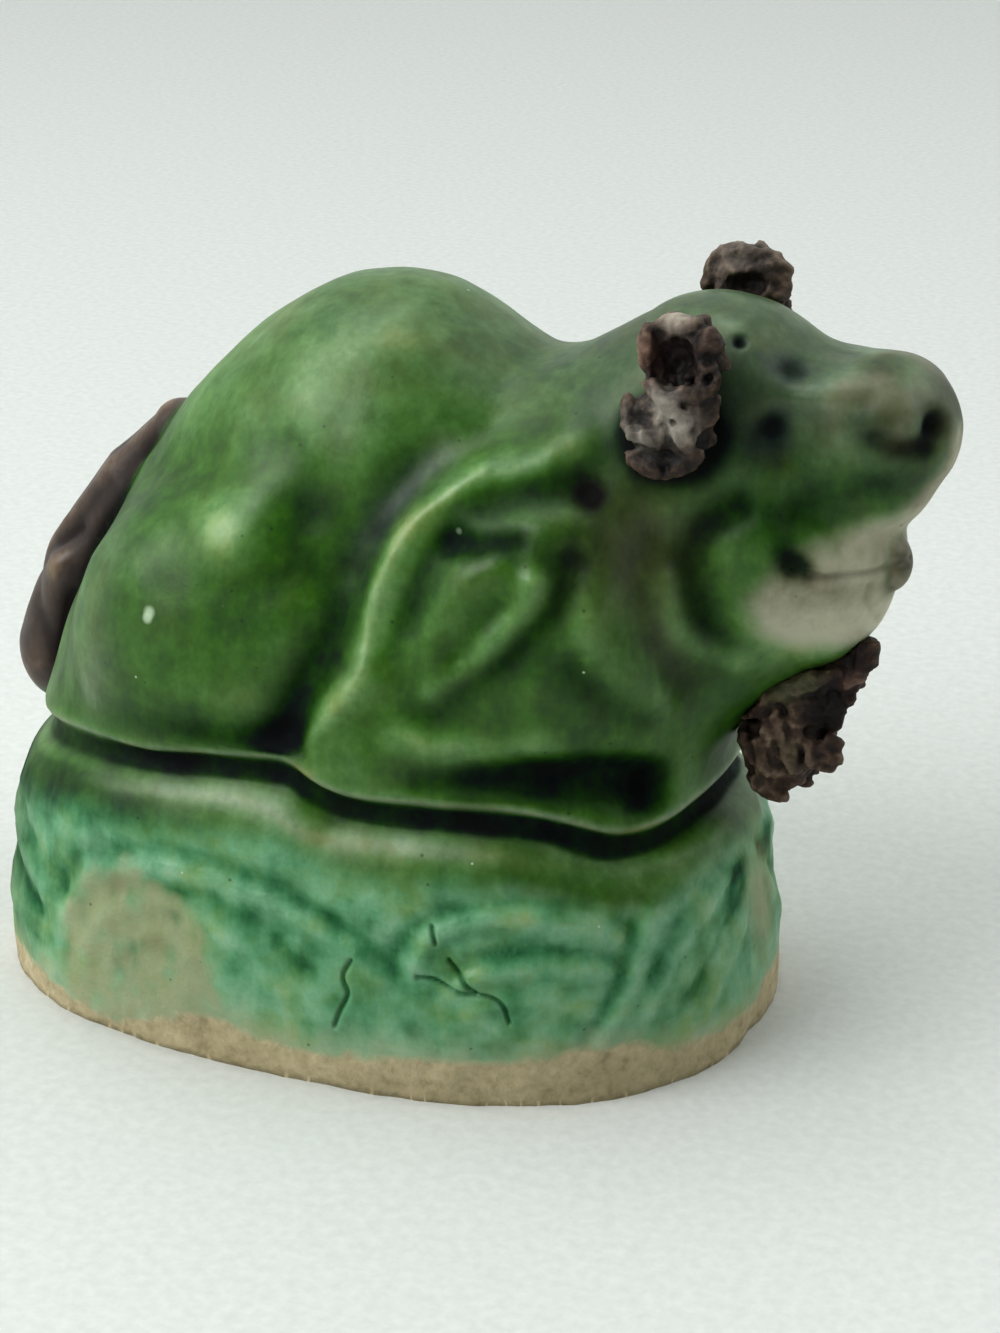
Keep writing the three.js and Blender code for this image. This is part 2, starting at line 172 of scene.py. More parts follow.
def slope(field, p, reach=0.06):
    steps = np.eye(3) * reach
    return np.array([field(p + s) - field(p - s) for s in steps]).T / (2 * reach)


def settle(field, p, passes=4, held=None):
    for _ in range(passes):
        g = slope(field, p)
        if held is not None:
            g[held, 2] = 0
        move = 0.8 * field(p) / np.maximum((g * g).sum(1), 0.25)
        p = p - g * np.clip(move, -0.4, 0.4)[:, None]
    return p


def smooth_line(points, steps=5):
    p = np.array(points, float)
    p = np.vstack([2 * p[0] - p[1], p, 2 * p[-1] - p[-2]])
    t = np.linspace(0, 1, steps, endpoint=False)[:, None]
    legs = [
        0.5 * (2 * b + (c - a) * t + (2 * a - 5 * b + 4 * c - d) * t**2 + (3 * b - a - 3 * c + d) * t**3)
        for a, b, c, d in zip(p, p[1:], p[2:], p[3:])
    ]
    return np.vstack([*legs, p[-2:-1]])


def stroke(p, points, width, start, end=None, field=moulding):
    """How high a modelling tool's smooth stroke along points stands at each of p, from start to end along it."""
    end = start if end is None else end
    path = settle(field, smooth_line(points), 3)
    near = np.all((p > path.min(0) - 2.6 * width) & (p < path.max(0) + 2.6 * width), axis=1)
    q = p[near]
    best, share = np.full(len(q), np.inf), np.zeros(len(q))
    for i, (a, b) in enumerate(zip(path, path[1:])):
        t, distance = along(q, a, b)
        closer = distance < best
        best[closer] = distance[closer]
        share[closer] = (i + t[closer]) / (len(path) - 1)
    height = np.zeros(len(p))
    height[near] = (start + (end - start) * share) * bell(best, width)
    return height


def dot(p, centre, width, height):
    return height * bell(np.linalg.norm(p - settle(moulding, np.array([centre], float), 4), axis=1), width)


def grain(p, size, seed=0.0):
    return np.array([noise.noise(Vector(v) / size + Vector((seed, seed, seed))) for v in p.tolist()])


# Furrows and ridges of both flanks: line, width, height at its start and at its end
FLANK_STROKES = {
    "belly_valley": ([(-0.3, 16.3, 23), (0.1, 16.2, 24.3), (0.6, 15.9, 26.6), (1.4, 15.4, 29.4), (2.9, 14.4, 32.5),
                      (3.4, 13.6, 35), (4.2, 12.9, 37.1), (6.2, 11.5, 40.3), (8.3, 9.7, 42.9), (10.6, 8.3, 44)],
                     2.1, -1.8, -0.4),
    "knee_crease": ([(-14.4, 8.7, 37.7), (-9.6, 10.1, 40.6), (-5.1, 11.3, 42), (-0.9, 12.4, 40.8), (0.4, 14.2, 36)],
                    2.8, -0.2, -0.6),
    "shoulder_rim": ([(-0.1, 16.2, 21.7), (1.7, 16.3, 25.6), (3.6, 16.4, 27.6), (5.1, 16.1, 29.1), (5.2, 14.7, 32.5),
                      (6, 13.8, 35.6), (7.4, 12.7, 38.6), (9.3, 12.2, 40.6), (11.7, 11.2, 42.5), (14.3, 10.5, 43.1),
                      (17, 9.3, 44.5)], 1.7, 0.7, 0.6),
    "rim_crest": ([(1.2, 16.3, 24), (5.1, 16.1, 29.1), (5.2, 14.7, 32.5), (6, 13.8, 35.6), (7.4, 12.7, 38.6),
                   (9.3, 12.2, 40.6), (11.7, 11.2, 42.5)], 0.5, 0.14, 0.1),
    "shoulder_channel": ([(17.6, 9.6, 41.9), (16, 10.6, 41.8), (14.3, 11.1, 41.4), (12.5, 11.8, 40.8), (11, 12.4, 40.2),
                          (9.9, 12.8, 39.2), (9.1, 13.2, 37.6), (8.1, 14.2, 34.5), (6.5, 14.9, 31.5)], 1.9, -0.7, -0.55),
    "paw_hollow": ([(9.7, 16.1, 22.4), (13.3, 14.6, 22.8), (16.9, 13.1, 22.8), (20, 10.5, 22.3), (22, 8.5, 21.2)],
                   1.7, -0.5, -2.2),
    "haunch_foot": ([(-16.8, 14.7, 22.8), (-9, 17, 23.6), (-1, 17.2, 24.2)], 1.5, -0.15, -0.5),
    "neck_ring": ([(19.4, 12.4, 36.9), (19.8, 13.6, 34.2), (20.7, 13.2, 31.7), (22.2, 12.1, 29.5), (23.2, 9.2, 27.7)],
                  1.7, 0.5, 0.45),
    "neck_groove": ([(22.2, 8.9, 38.9), (22.1, 10.2, 36.1), (22.7, 10, 33.3), (23.7, 8.7, 30.5), (24.6, 6.6, 28.6)],
                    1.5, -0.5, -0.5),
    "jaw_ring": ([(23.7, 9.1, 36), (24, 9.1, 33.6), (25.2, 8.3, 31.8), (27.5, 5.6, 29.9)], 1.3, 0.55, 0.4),
    "cheek_furrow": ([(27.7, 6.7, 41), (25.6, 7.2, 39.2), (24.8, 7.6, 36.8), (25.2, 7.4, 34.4), (26.5, 6.2, 31.6)],
                     1.5, -0.6, -0.5),
    "muzzle_band": ([(30.9, 5.6, 40.7), (32.6, 4.6, 40.3), (34.5, 4.1, 40.7), (36.2, 3.6, 41.8)], 1.7, -0.7, -0.3),
    "under_nose": ([(35.9, 5, 46.1), (37.2, 4.5, 45.6), (38.6, 3.1, 45.4)], 0.8, -0.25, -0.25),
}
# Leaf-shaped folds inside the shoulder's rim, seen on the right flank
LEAF_STROKES = {
    "leaf_top": ([(11.5, 12.6, 39.6), (14.6, 12.8, 40.1), (19, 12.2, 39.8)], 1.4, 0.25, 0.25),
    "leaf_pit": ([(10.4, 13.1, 38.2), (12.6, 13.3, 38.4), (14.9, 13.5, 39.1)], 1.0, -0.4, -0.25),
    "leaf_body": ([(13.6, 14.2, 37.5), (11.5, 15.1, 35.7), (10, 15.6, 33.4), (9.3, 15.8, 31.7)], 1.6, 0.5, 0.3),
    "leaf_vein": ([(14.1, 15, 35.2), (12.7, 15.4, 33.3), (11.7, 15.6, 31.6)], 1.1, -0.3, -0.3),
    "leaf_edge": ([(16.5, 13.8, 36.6), (16.2, 14.2, 35.1), (14.7, 14.9, 33.1), (12.4, 15.4, 30.6), (10.1, 15.8, 28.7)],
                  1.0, 0.65, 0.45),
    "elbow_groove": ([(18.5, 12.2, 37.5), (17.9, 12.9, 35.3), (16.3, 14, 33.4), (14.5, 14.5, 31.2), (11.9, 15.1, 29.4),
                      (10, 15.2, 27.2)], 1.6, -0.75, -0.45),
    "breast_fold": ([(19.4, 13.6, 31.2), (20.9, 12.6, 29), (22.7, 10.2, 26.9)], 1.6, -0.5, -0.4),
    "forearm": ([(8.7, 16, 25.4), (10.8, 15.5, 24.7), (13.9, 14.9, 24.8), (17.2, 13.9, 25.4)], 1.6, 0.3, 0.25),
}
# Waves moulded low on the plinth's wall, alike on both sides
WAVE_STROKES = [
    ([(-24.6, 12, 13.5), (-22, 14.6, 12), (-19, 17, 10.4), (-17.6, 17.5, 9.3)], 0.7, -0.3),
    ([(-26.4, 9, 10), (-23.6, 13.6, 8.4), (-20.5, 16.5, 6.8)], 0.7, -0.3),
    ([(-27.2, 5, 13), (-25.8, 10.6, 11.6), (-22.4, 15, 9.9), (-19.3, 17.2, 8)], 0.7, 0.3),
    ([(-28, 3, 9), (-26.6, 9, 6.6), (-23.4, 14.4, 4.9)], 0.7, 0.3),
    ([(-18.3, 17.2, 9), (-17.3, 17.4, 11.6), (-14.7, 18, 13.5), (-9.7, 18.7, 14.8), (-5.6, 19, 15), (-0.9, 19.1, 14.2), (2.9, 19.2, 13), (6.6, 19.1, 11.3), (8.6, 18.9, 9.6)], 0.75, -0.4),
    ([(-17.9, 17.7, 7.7), (-16.6, 17.9, 10), (-14.2, 18.3, 12), (-9.7, 18.8, 13.4), (-4.8, 19.2, 13.4), (0.7, 19.3, 12.4), (5.2, 19.4, 10.6), (7.4, 19.3, 8.6)], 0.7, 0.38),
    ([(-17.2, 18.1, 5.5), (-15.4, 18.4, 9), (-12.6, 18.7, 11.2), (-8.6, 19, 12.3), (-4.8, 19.3, 12), (-0.8, 19.5, 10.6), (2.9, 19.8, 8.2)], 0.6, -0.22),
    ([(-16.2, 18.5, 4.4), (-14, 18.7, 8.4), (-10.6, 19.1, 10.8), (-6.6, 19.4, 10.8), (-2.6, 19.7, 9.2), (0.4, 19.9, 6.6)], 0.65, 0.25),
    ([(-13.8, 19, 4.4), (-12, 19.1, 7.4), (-8.8, 19.4, 8.8), (-5.4, 19.7, 7.8), (-3.4, 20, 5.4)], 0.7, 0.2),
    ([(8.6, 18.9, 10.8), (9.6, 18.6, 12.4), (11.4, 18.1, 13.9), (14, 17.2, 14.7), (17, 15.9, 14.9), (20.3, 13.9, 14.1), (22.8, 12.3, 12.6)], 0.7, -0.45),
    ([(10, 18.8, 10), (11.2, 18.4, 12), (13.4, 17.7, 13.3), (16.6, 16.3, 13.8), (19.6, 14.8, 13.4), (22.2, 13.1, 12)], 0.6, 0.4),
    ([(12.6, 18.1, 9.6), (14.4, 17.6, 11), (16.6, 16.8, 11.5), (19.4, 15.4, 11.4), (22, 13.5, 10.6)], 0.55, -0.35),
    ([(12.4, 18.4, 8.2), (14.2, 17.8, 9.6), (17, 16.8, 10.2), (19.8, 15.3, 10.1), (21.8, 13.9, 9.4)], 0.6, 0.3),
    ([(13.1, 18.6, 6.6), (15.6, 17.7, 7.7), (18.6, 16.3, 7.8), (21.1, 14.9, 7)], 0.6, 0.24),
    ([(23.2, 12, 13.4), (22.9, 12.8, 11), (22.3, 13.8, 8), (20.8, 15.4, 4.4)], 0.65, -0.4),
    ([(24.2, 10.8, 13.8), (23.8, 12, 10.6), (23.1, 13, 7.6), (21.8, 14.6, 4.6)], 0.6, 0.35),
    ([(26.5, 4, 15.3), (25.9, 7.4, 13.7), (25, 9.8, 11.6), (24.3, 11.5, 8.6)], 0.7, -0.35),
    ([(26.9, 4.4, 13.6), (26.2, 7.6, 11.8), (25.2, 10, 9.4), (24.2, 12, 6.4)], 0.6, 0.35),
    ([(27.2, 5.4, 9.9), (26.6, 7.9, 7.8), (25.9, 9.8, 5.5)], 0.6, -0.35),
    ([(27.9, 2.6, 9.4), (27.5, 5.4, 7.2), (26.8, 8, 4.6)], 0.6, 0.35),
    ([(27.2, 0, 14.4), (27.7, 2.4, 12), (27.5, 4.8, 9.8)], 0.6, -0.3),
]
# Tool marks that part the tail's plume into locks
TAIL_STROKES = [
    ([(-17.4, 1.4, 38), (-20.6, 2.4, 35.2), (-23.6, 2.8, 31.6), (-26.2, 2.6, 28)], 0.45, -0.35),
    ([(-18.4, 0.4, 39), (-21.6, 0.8, 36.4), (-25, 1, 32.2), (-28.4, 0.6, 27)], 0.45, -0.35),
    ([(-17.6, 2.4, 36), (-20.2, 3, 33.4), (-22.4, 3.2, 30.4), (-23.6, 3.3, 27)], 0.4, 0.25),
    ([(-26.6, 2.4, 29), (-25.2, 3, 29.9), (-23.6, 3.2, 30.9)], 0.5, -0.6),
    ([(-28.6, 1.8, 27.4), (-27.6, 3, 25), (-26.4, 3.8, 22.8), (-25, 4, 21)], 0.6, -0.4),
    ([(-24, 3.4, 27.6), (-24.4, 3.8, 25), (-24, 4.2, 22.6)], 0.6, -0.4),
    ([(-30.2, 0.4, 25), (-30.8, 0.8, 22), (-30.2, 0.6, 19.6)], 0.5, -0.35),
]
# Firing cracks in the near wall of the plinth, and the line of the lips
CRACKS = [
    [(5.6, -19.4, 9.9), (5, -19.7, 8.6), (5.4, -19.8, 7.4), (4.9, -19.9, 6.1), (4.5, -20, 4.9)],
    [(10.2, -18.9, 9.3), (11.3, -18.7, 9.2), (13, -18.4, 8.4), (14.7, -17.9, 8.3), (15.8, -17.6, 7.7), (16.3, -17.6, 6.4)],
    [(12.2, -18.3, 10.6), (12.8, -18.2, 9.8), (13.5, -18.2, 8.9), (14.1, -18.1, 8.5)],
    [(11, -18.3, 12.9), (11.3, -18.4, 11.8)],
]
LIP_LINE = [(31.2, -6.3, 37), (32.9, -5.3, 36.6), (34.2, -4.5, 36.6), (35.8, -2.9, 36.6), (37.2, -0.6, 36.8)]
# Knee hollow, eye, brow, pinhole, nostril, mouth corner, muzzle bump, tail knob and scar: centre, width, height
DENTS = [
    ((-4.9, 13.8, 37.3), 3.3, 1.1),
    ((29.6, 6.1, 46), 1.8, -0.8),
    ((30, 3.8, 49.7), 1.3, -0.4),
    ((26.5, 4.3, 51.2), 0.4, -0.5),
    ((39.2, 2.6, 46.6), 0.9, -1.1),
    ((31.2, 6.4, 37.5), 1.0, -0.6),
    ((37.3, 4, 47.7), 1.3, 0.3),
    ((-25.3, 3.6, 27.8), 1.3, 0.5),
    ((18.7, 9.9, 41.6), 0.8, -0.15),
]


def shallow(p):
    """The height in millimetres that is added to the moulding's skin at each of p."""
    m = both_sides(p)
    h = np.zeros(len(p))
    for line, width, *heights in FLANK_STROKES.values():
        h += stroke(m, line, width, *heights)
    for line, width, height in TAIL_STROKES:
        h += stroke(m, line, 1.5 * width, 0.65 * height)
    h *= 1 - 0.75 * bell(m[:, 2] - waist(m[:, 0]) - 0.6, 1.2)
    for line, width, height in WAVE_STROKES:
        h += stroke(m, line, width, 0.6 * height)
    right = m[p[:, 1] < 0]
    for line, width, *heights in LEAF_STROKES.values():
        h[p[:, 1] < 0] += stroke(right, line, width, *heights)
    for centre, width, height in DENTS:
        h += dot(m, centre, width, height)
    h += 0.42 * bell(np.hypot(oval(m, FIGURE_INSET), m[:, 2] - waist(m[:, 0]) - 1.05), 0.55)
    h += 0.45 * bell(np.hypot(oval(p, GROOVE_INSET), p[:, 2] - waist(p[:, 0]) + 0.3), 0.9)
    h += stroke(p, LIP_LINE, 0.3, -0.4, -0.2)
    h += stroke(p, [(35.5, -3.4, 35.7), (35.3, -3, 34.3), (35.5, -1.1, 32.6)], 0.35, -0.2)
    for crack in CRACKS:
        h += stroke(p, crack, 0.14, -0.34)
    return h


dog = bpy.data.objects.new("glazed_dog_on_plinth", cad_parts["foo_dog_on_plinth"].data.copy())
bpy.context.collection.objects.link(dog)
bpy.ops.object.select_all(action="DESELECT")
dog.select_set(True)
bpy.context.view_layer.objects.active = dog
bpy.ops.object.mode_set(mode="EDIT")
bpy.ops.mesh.select_all(action="SELECT")
bpy.ops.mesh.remove_doubles(threshold=1e-6)
bpy.ops.mesh.tris_convert_to_quads(face_threshold=math.pi, shape_threshold=math.pi)
bpy.ops.mesh.select_mode(type="FACE")
bpy.ops.mesh.select_all(action="DESELECT")
bpy.ops.object.mode_set(mode="OBJECT")
dog.data.polygons.foreach_set("select", [face.center.z < 0.01 * MM for face in dog.data.polygons])
bpy.ops.object.mode_set(mode="EDIT")
bpy.ops.mesh.dissolve_faces()
bpy.ops.object.mode_set(mode="OBJECT")
crease = dog.data.attributes.new("crease_edge", "FLOAT", "EDGE")
lift = np.array([v.co.z for v in dog.data.vertices]) / MM
rim_edge = [lift[e.vertices[0]] < 0.01 and lift[e.vertices[1]] < 0.01 for e in dog.data.edges]
crease.data.foreach_set("value", np.array(rim_edge, np.float32))
rounder = dog.modifiers.new("rounder", "SUBSURF")
rounder.levels = rounder.render_levels = 2
bpy.ops.object.modifier_apply(modifier=rounder.name)


def points_of(piece):
    co = np.zeros(len(piece.data.vertices) * 3, np.float32)
    piece.data.vertices.foreach_get("co", co)
    return co.reshape(-1, 3).astype(float) / MM


def finer(piece, wanted):
    """Splits the faces whose middle, in millimetres, wanted() picks."""
    middles = np.array([f.center for f in piece.data.polygons]) / MM
    bpy.ops.object.mode_set(mode="EDIT")
    bpy.ops.mesh.select_mode(type="FACE")
    bpy.ops.mesh.select_all(action="DESELECT")
    bpy.ops.object.mode_set(mode="OBJECT")
    piece.data.polygons.foreach_set("select", wanted(middles))
    bpy.ops.object.mode_set(mode="EDIT")
    bpy.ops.mesh.subdivide(number_cuts=1, ngon=False)
    bpy.ops.object.mode_set(mode="OBJECT")


def near_cracks(p, reach):
    lines = [*CRACKS, LIP_LINE]
    return np.max([stroke(p, line, reach, 1) for line in lines], axis=0) > math.exp(-1)


finer(dog, lambda p: (p[:, 1] < 1) & (p[:, 2] > 25) & (p[:, 0] > 8))
finer(dog, lambda p: (p[:, 2] < 2.2) & (p[:, 2] > 0.001) & (p[:, 1] < 8))
finer(dog, lambda p: near_cracks(p, 0.9))
finer(dog, lambda p: near_cracks(p, 0.5))

surface = points_of(dog)
on_table = surface[:, 2] < 0.01
surface[on_table, 2] = 0
links = np.array([e.vertices for e in dog.data.edges])
underside = on_table & (oval(surface, 0) < -1.2)
surface[~underside] = settle(moulding, surface[~underside], 5, on_table[~underside])
outward = slope(moulding, surface)
outward[on_table, 2] = 0
outward /= np.maximum(np.linalg.norm(outward, axis=1), 1e-6)[:, None]

height = shallow(surface)
height += 0.15 * grain(surface, 5.0) + 0.06 * grain(surface, 2.2, 7.0)
low = 1 - ramp(surface[:, 2], 14, 17)
height += low * (0.10 * grain(surface, 1.9, 3.0) + 0.05 * grain(surface, 0.9, 5.0))
foot = 1 - ramp(surface[:, 2], 0.2, 1.8)
height -= foot * 0.3 * np.maximum(0, grain(surface, 4.2, 11.0))
height[underside] = 0
surface = surface + outward * height[:, None]
surface[on_table, 2] = 0
low_corner, high_corner = (np.array(c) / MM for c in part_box("foo_dog_on_plinth"))
surface = np.clip(surface, low_corner, high_corner)
dog.data.vertices.foreach_set("co", (surface * MM).astype(np.float32).ravel())
dog.data.update()
dog.data.shade_smooth()

# The glaze ran into hollows, where it is thick and nearly black, and off the ridges, where the clay shows through.
# What each point wears is kept in attributes: the glaze's thickness, which in places also carries painted highlights
# and painted shade, and how much of each colour covers it.
normals = np.zeros(len(surface) * 3, np.float32)
dog.data.vertices.foreach_get("normal", normals)
normals = normals.reshape(-1, 3).astype(float)
count = np.bincount(links.ravel(), minlength=len(surface))


def evened(values, rounds):
    for _ in range(rounds):
        total = np.bincount(links[:, 0], values[links[:, 1]], len(values))
        total += np.bincount(links[:, 1], values[links[:, 0]], len(values))
        values = 0.4 * values + 0.6 * total / count
    return values


def hollowness(rounds):
    even = np.array([evened(surface[:, axis], rounds) for axis in range(3)]).T
    return ((even - surface) * normals).sum(1)


close_hollow = hollowness(8)
wide_hollow = hollowness(50)
m = both_sides(surface)
x, y, z = surface.T
tilt = np.hypot(1, (waist(x + 0.1) - waist(x - 0.1)) / 0.2)
under_groove = (waist(x) - z) / tilt


def brush(points, width, start, end):
    return stroke(m, points, width, start, end)


thickness = 0.45 + 0.5 * close_hollow + 0.4 * wide_hollow
# Among these, the paw hollow's entry is painted shade: the shadow under the chest, painted as thick, nearly black
# glaze.
for name, width, start, end in (
    ("shoulder_rim", 0.8, -0.06, -0.3), ("shoulder_channel", 1.4, 0.2, 0.2), ("paw_hollow", 2.0, 0.1, 0.8),
    ("neck_groove", 1.2, 0.0, 0.08), ("neck_ring", 1.2, -0.1, -0.14), ("jaw_ring", 0.9, -0.2, -0.2), ("cheek_furrow", 1.25, 0.34, 0.22),
    ("under_nose", 0.8, 0.44, 0.45), ("knee_crease", 2.8, 0, 0.1), ("rim_crest", 0.5, -0.08, -0.14),
):
    thickness += brush(FLANK_STROKES[name][0], width, start, end)
for name, width, start, end in (
    ("leaf_pit", 1.1, 0.42, 0.24), ("leaf_vein", 1.0, 0.02, 0.02), ("elbow_groove", 1.6, 0.3, 0.1),
    ("leaf_top", 1.2, 0.03, 0.03), ("leaf_edge", 0.9, -0.22, -0.2), ("breast_fold", 1.6, 0.14, 0.12), ("forearm", 1.2, -0.36, -0.28),
):
    thickness += brush(LEAF_STROKES[name][0], width, start, end)
thickness += brush([(-1, 16.8, 23.3), (0, 16.3, 24.6), (0.8, 15.9, 26.8), (1.6, 15.4, 29.4), (2.6, 14.9, 32)], 1.4, 0.75, 0.0)
# Painted shade: a soft dark band along the haunch's foot above the figure's lip, darker towards the paw.
thickness += brush([(-12, 16.4, 22.6), (-6, 17.2, 23), (-1.6, 17.2, 23.2)], 1.3, 0.05, 0.35)
thickness += brush([(6.2, 15, 31.4), (7, 14.3, 34.6), (8, 13.4, 37.3), (9.2, 12.8, 39.4)], 0.8, -0.28, -0.22)
thickness += brush([(2.4, 15.6, 28.4), (3.4, 14.6, 31.6), (4.2, 13.9, 35), (5.6, 12.8, 38.4), (8, 11.8, 41)], 1.1, 0.14, 0.06)
# Painted light: the upper body is painted lighter, partly thinner glaze that ran down and partly a painted highlight
# where light falls from above; the top edge is painted darker to tone down its sheen.
thickness += (0.1 * ramp(z, 49.5, 51.5) - 0.11 * ramp(z, 32, 50)) * (1 - ramp(x, 8, 18))
thickness += brush([(30.7, 6.8, 40.6), (31.5, 6, 41.3), (33.8, 4.9, 42.1), (36.2, 4.3, 43), (37.6, 3.9, 43.6)], 1.5, 0.16, 0.16)
thickness += brush([(30.7, 7.2, 38.6), (31.4, 6.8, 37.7), (32.2, 6.2, 36.9)], 0.8, 0.25, 0.3)
# The last dot on this line is a painted highlight on the knee, partly thinner glaze on the raised knee; the next line's
# three dots are painted highlight patches on the hump, as thinner glaze.
thickness -= dot(m, (33.4, 4.8, 48.3), 1.5, 0.26) + dot(m, (25.7, 3.6, 51.9), 0.7, 0.3) + dot(m, (-5.7, 13.5, 37), 2.0, 0.38)
thickness -= dot(m, (0.7, 7.2, 49.2), 1.4, 0.1) + dot(m, (3.3, 5.8, 49.9), 1.2, 0.14) + dot(m, (5.8, 4.9, 49.4), 1.2, 0.12)
thickness += dot(m, (27, 3.3, 13.6), 2.4, 0.45) + dot(m, (35.2, 2.4, 49), 1.8, 0.12) - dot(m, (30.5, 3.9, 30.5), 2.6, 0.2)
thickness += dot(m, (29.6, 6.1, 46.4), 0.7, 0.9) + dot(m, (29.5, 6.3, 45.6), 1.9, 0.16)
thickness += dot(m, (39.1, 2.7, 46.8), 1.0, 0.62) + dot(m, (31.4, 6.6, 37.6), 1.0, 0.4)
thickness += dot(m, (26.5, 4.3, 51.2), 0.45, 0.4) + dot(m, (30, 3.8, 49.7), 1.0, 0.25)
forward = ramp(x, -12, 4)
# Painted highlight: a lighter, greyer band along the plinth's rolled shoulder below the groove, partly thinner glaze on
# the roll.
shoulder_roll_highlight = bell(under_groove - 1.9 - 0.55 * bell(x - 1, 4), 0.42 + 0.25 * forward) * ramp(x, -20, -9) * (1 - ramp(x, 12, 21))
below = ramp(under_groove, 1.2, 1.8) * (1 - ramp(under_groove, 3.6, 5.6))
thickness += below * (0.58 - 0.22 * ramp(x, -16, 2) - thickness) - 0.3 * shoulder_roll_highlight
off_tail = ramp(tail(surface), 0.1, 0.9)
in_groove = off_tail * (1 - ramp(np.abs(under_groove - 0.12 + 0.12 * grain(surface, 2.4, 9.0)), 0.5, 0.95))
thickness += in_groove * (0.67 + 0.18 * ramp(x, -18, -7) - thickness)
# Along the lip over the groove the glaze is painted thin and pale: partly thin glaze showing the clay, partly a painted
# reflection of the pale card below.
lip_edge_thin_and_reflecting = bell(under_groove + 1.0, 0.34) * off_tail * ramp(x, -25, -18)
thickness += 0.95 * lip_edge_thin_and_reflecting * (0.02 - thickness)
ears = [ellipsoid(surface, c, r) for c, r in (((23.6, -9, 46.7), (3, 2.1, 3.1)), ((23.3, 8.9, 47.2), (2.7, 2, 2.9)))]
pool = bell(np.maximum(np.min(ears, axis=0), 0), 1.3) * (1 - ramp(z, 45, 50))
thickness += 0.85 * pool

turquoise = ramp(under_groove + 0.8 * grain(surface, 5, 2.0), 2.5, 5.2) * (1 - 0.6 * ramp(-x, 19, 26))
thickness += 0.2 * ramp(-x, 18, 26) * low + 0.2 * low * grain(surface, 1.7, 12.0)
aubergine = ramp(animal(surface) - tail(surface), -0.3, 0.5) * ramp(z, 17, 18.4)
aubergine = np.maximum(aubergine, ramp(-x, 24, 26) * (1 - ramp(np.abs(y), 4.5, 7)) * ramp(z, 17, 18.4))
thickness -= 0.12 * aubergine * close_hollow
olive = 0.75 * bell(np.linalg.norm((m - [21.6, 9.6, 38.4]) / [1.2, 1.5, 1.5], axis=1), 3.2)
olive = np.maximum(olive, brush(FLANK_STROKES["neck_groove"][0], 1.2, 0.8, 0.3))
jaw = ellipsoid(m, (33, 2.4, 34.8), (5.9, 6.6, 4.1))
lip = ellipsoid(m, (36.2, 1.5, 38.2), (4.6, 4.5, 1.9), 0.1)
snout_edge = limb(surface, (37, 0, 40), (40.2, 0, 44.6), 2.6, 1.3)
cream = 1 - ramp(np.min([jaw, lip, snout_edge], axis=0) + 0.5 * grain(surface, 2.6, 4.0), -0.8, 1.1)
thickness -= 0.3 * bell(np.maximum(jaw, 0), 1.6) * (1 - ramp(z, 33, 35.5)) + dot(m, (36.6, 4.2, 47.6), 2.2, 0.16)
thickness -= 0.16 * bell(np.maximum(lip, 0), 0.8)
cream *= 1 - dot(m, (31.2, 6.4, 37.6), 1.2, 1.0)
cream *= 1 - 0.8 * bell(np.linalg.norm(surface - [37.6, -0.7, 36.4], axis=1), 1.7)
thickness += dot(m, (18.7, 9.9, 41.6), 1.0, 0.66) + dot(m, (36.9, 4.8, 47.2), 1.3, 0.25)
for centre, width, strength in (
    ((36.9, 4.8, 47.2), 1.6, 0.6), ((18.7, 9.9, 41.6), 1.2, 0.9), ((38.6, 1.6, 48.4), 1.8, 0.55), ((33, 5.2, 46.4), 1.6, 0.3),
    ((39.6, 1.4, 46.6), 1.8, 0.6), ((37, 3.6, 48.8), 1.4, 0.4), ((35.6, 4.4, 46.6), 1.1, 0.35),
    ((37.5, 0.8, 36.4), 1.9, 1.0),
):
    olive = np.maximum(olive, dot(m, centre, width, strength))
snout = ramp(x, 30.5, 34) * ramp(z, 44, 46)
olive = np.maximum(olive, snout * np.clip(0.3 + 1.1 * grain(surface, 2.6, 17.0), 0, 0.7))
thickness += snout * (0.24 * grain(surface, 2.0, 21.0) - 0.03)
crust = bell(np.maximum(ellipsoid(surface, (36.4, -0.6, 36.3), (1.2, 1.6, 1.8)), 0), 0.5) * ramp(x, 35.9, 36.7)
# Greyer ash tone: partly a thinner, greyer glaze on the head and neck, partly painted sheen on the upper surfaces, the
# painted highlight on the plinth's shoulder and the painted reflection along the lip.
ash = np.maximum(ramp(z + 0.1 * x, 43, 52) * (0.35 + 0.5 * ramp(x, 4, 13)), np.maximum(0.6 * shoulder_roll_highlight, 0.85 * lip_edge_thin_and_reflecting))
ash = np.maximum(ash, dot(m, (29.5, 6.3, 45.8), 2.8, 1.0))
ash = np.maximum(ash, brush([(3.4, 13.6, 35), (4.2, 12.9, 37.1), (6.2, 11.5, 40.3), (8.3, 9.7, 42.9)], 1.5, 0.5, 0.9))
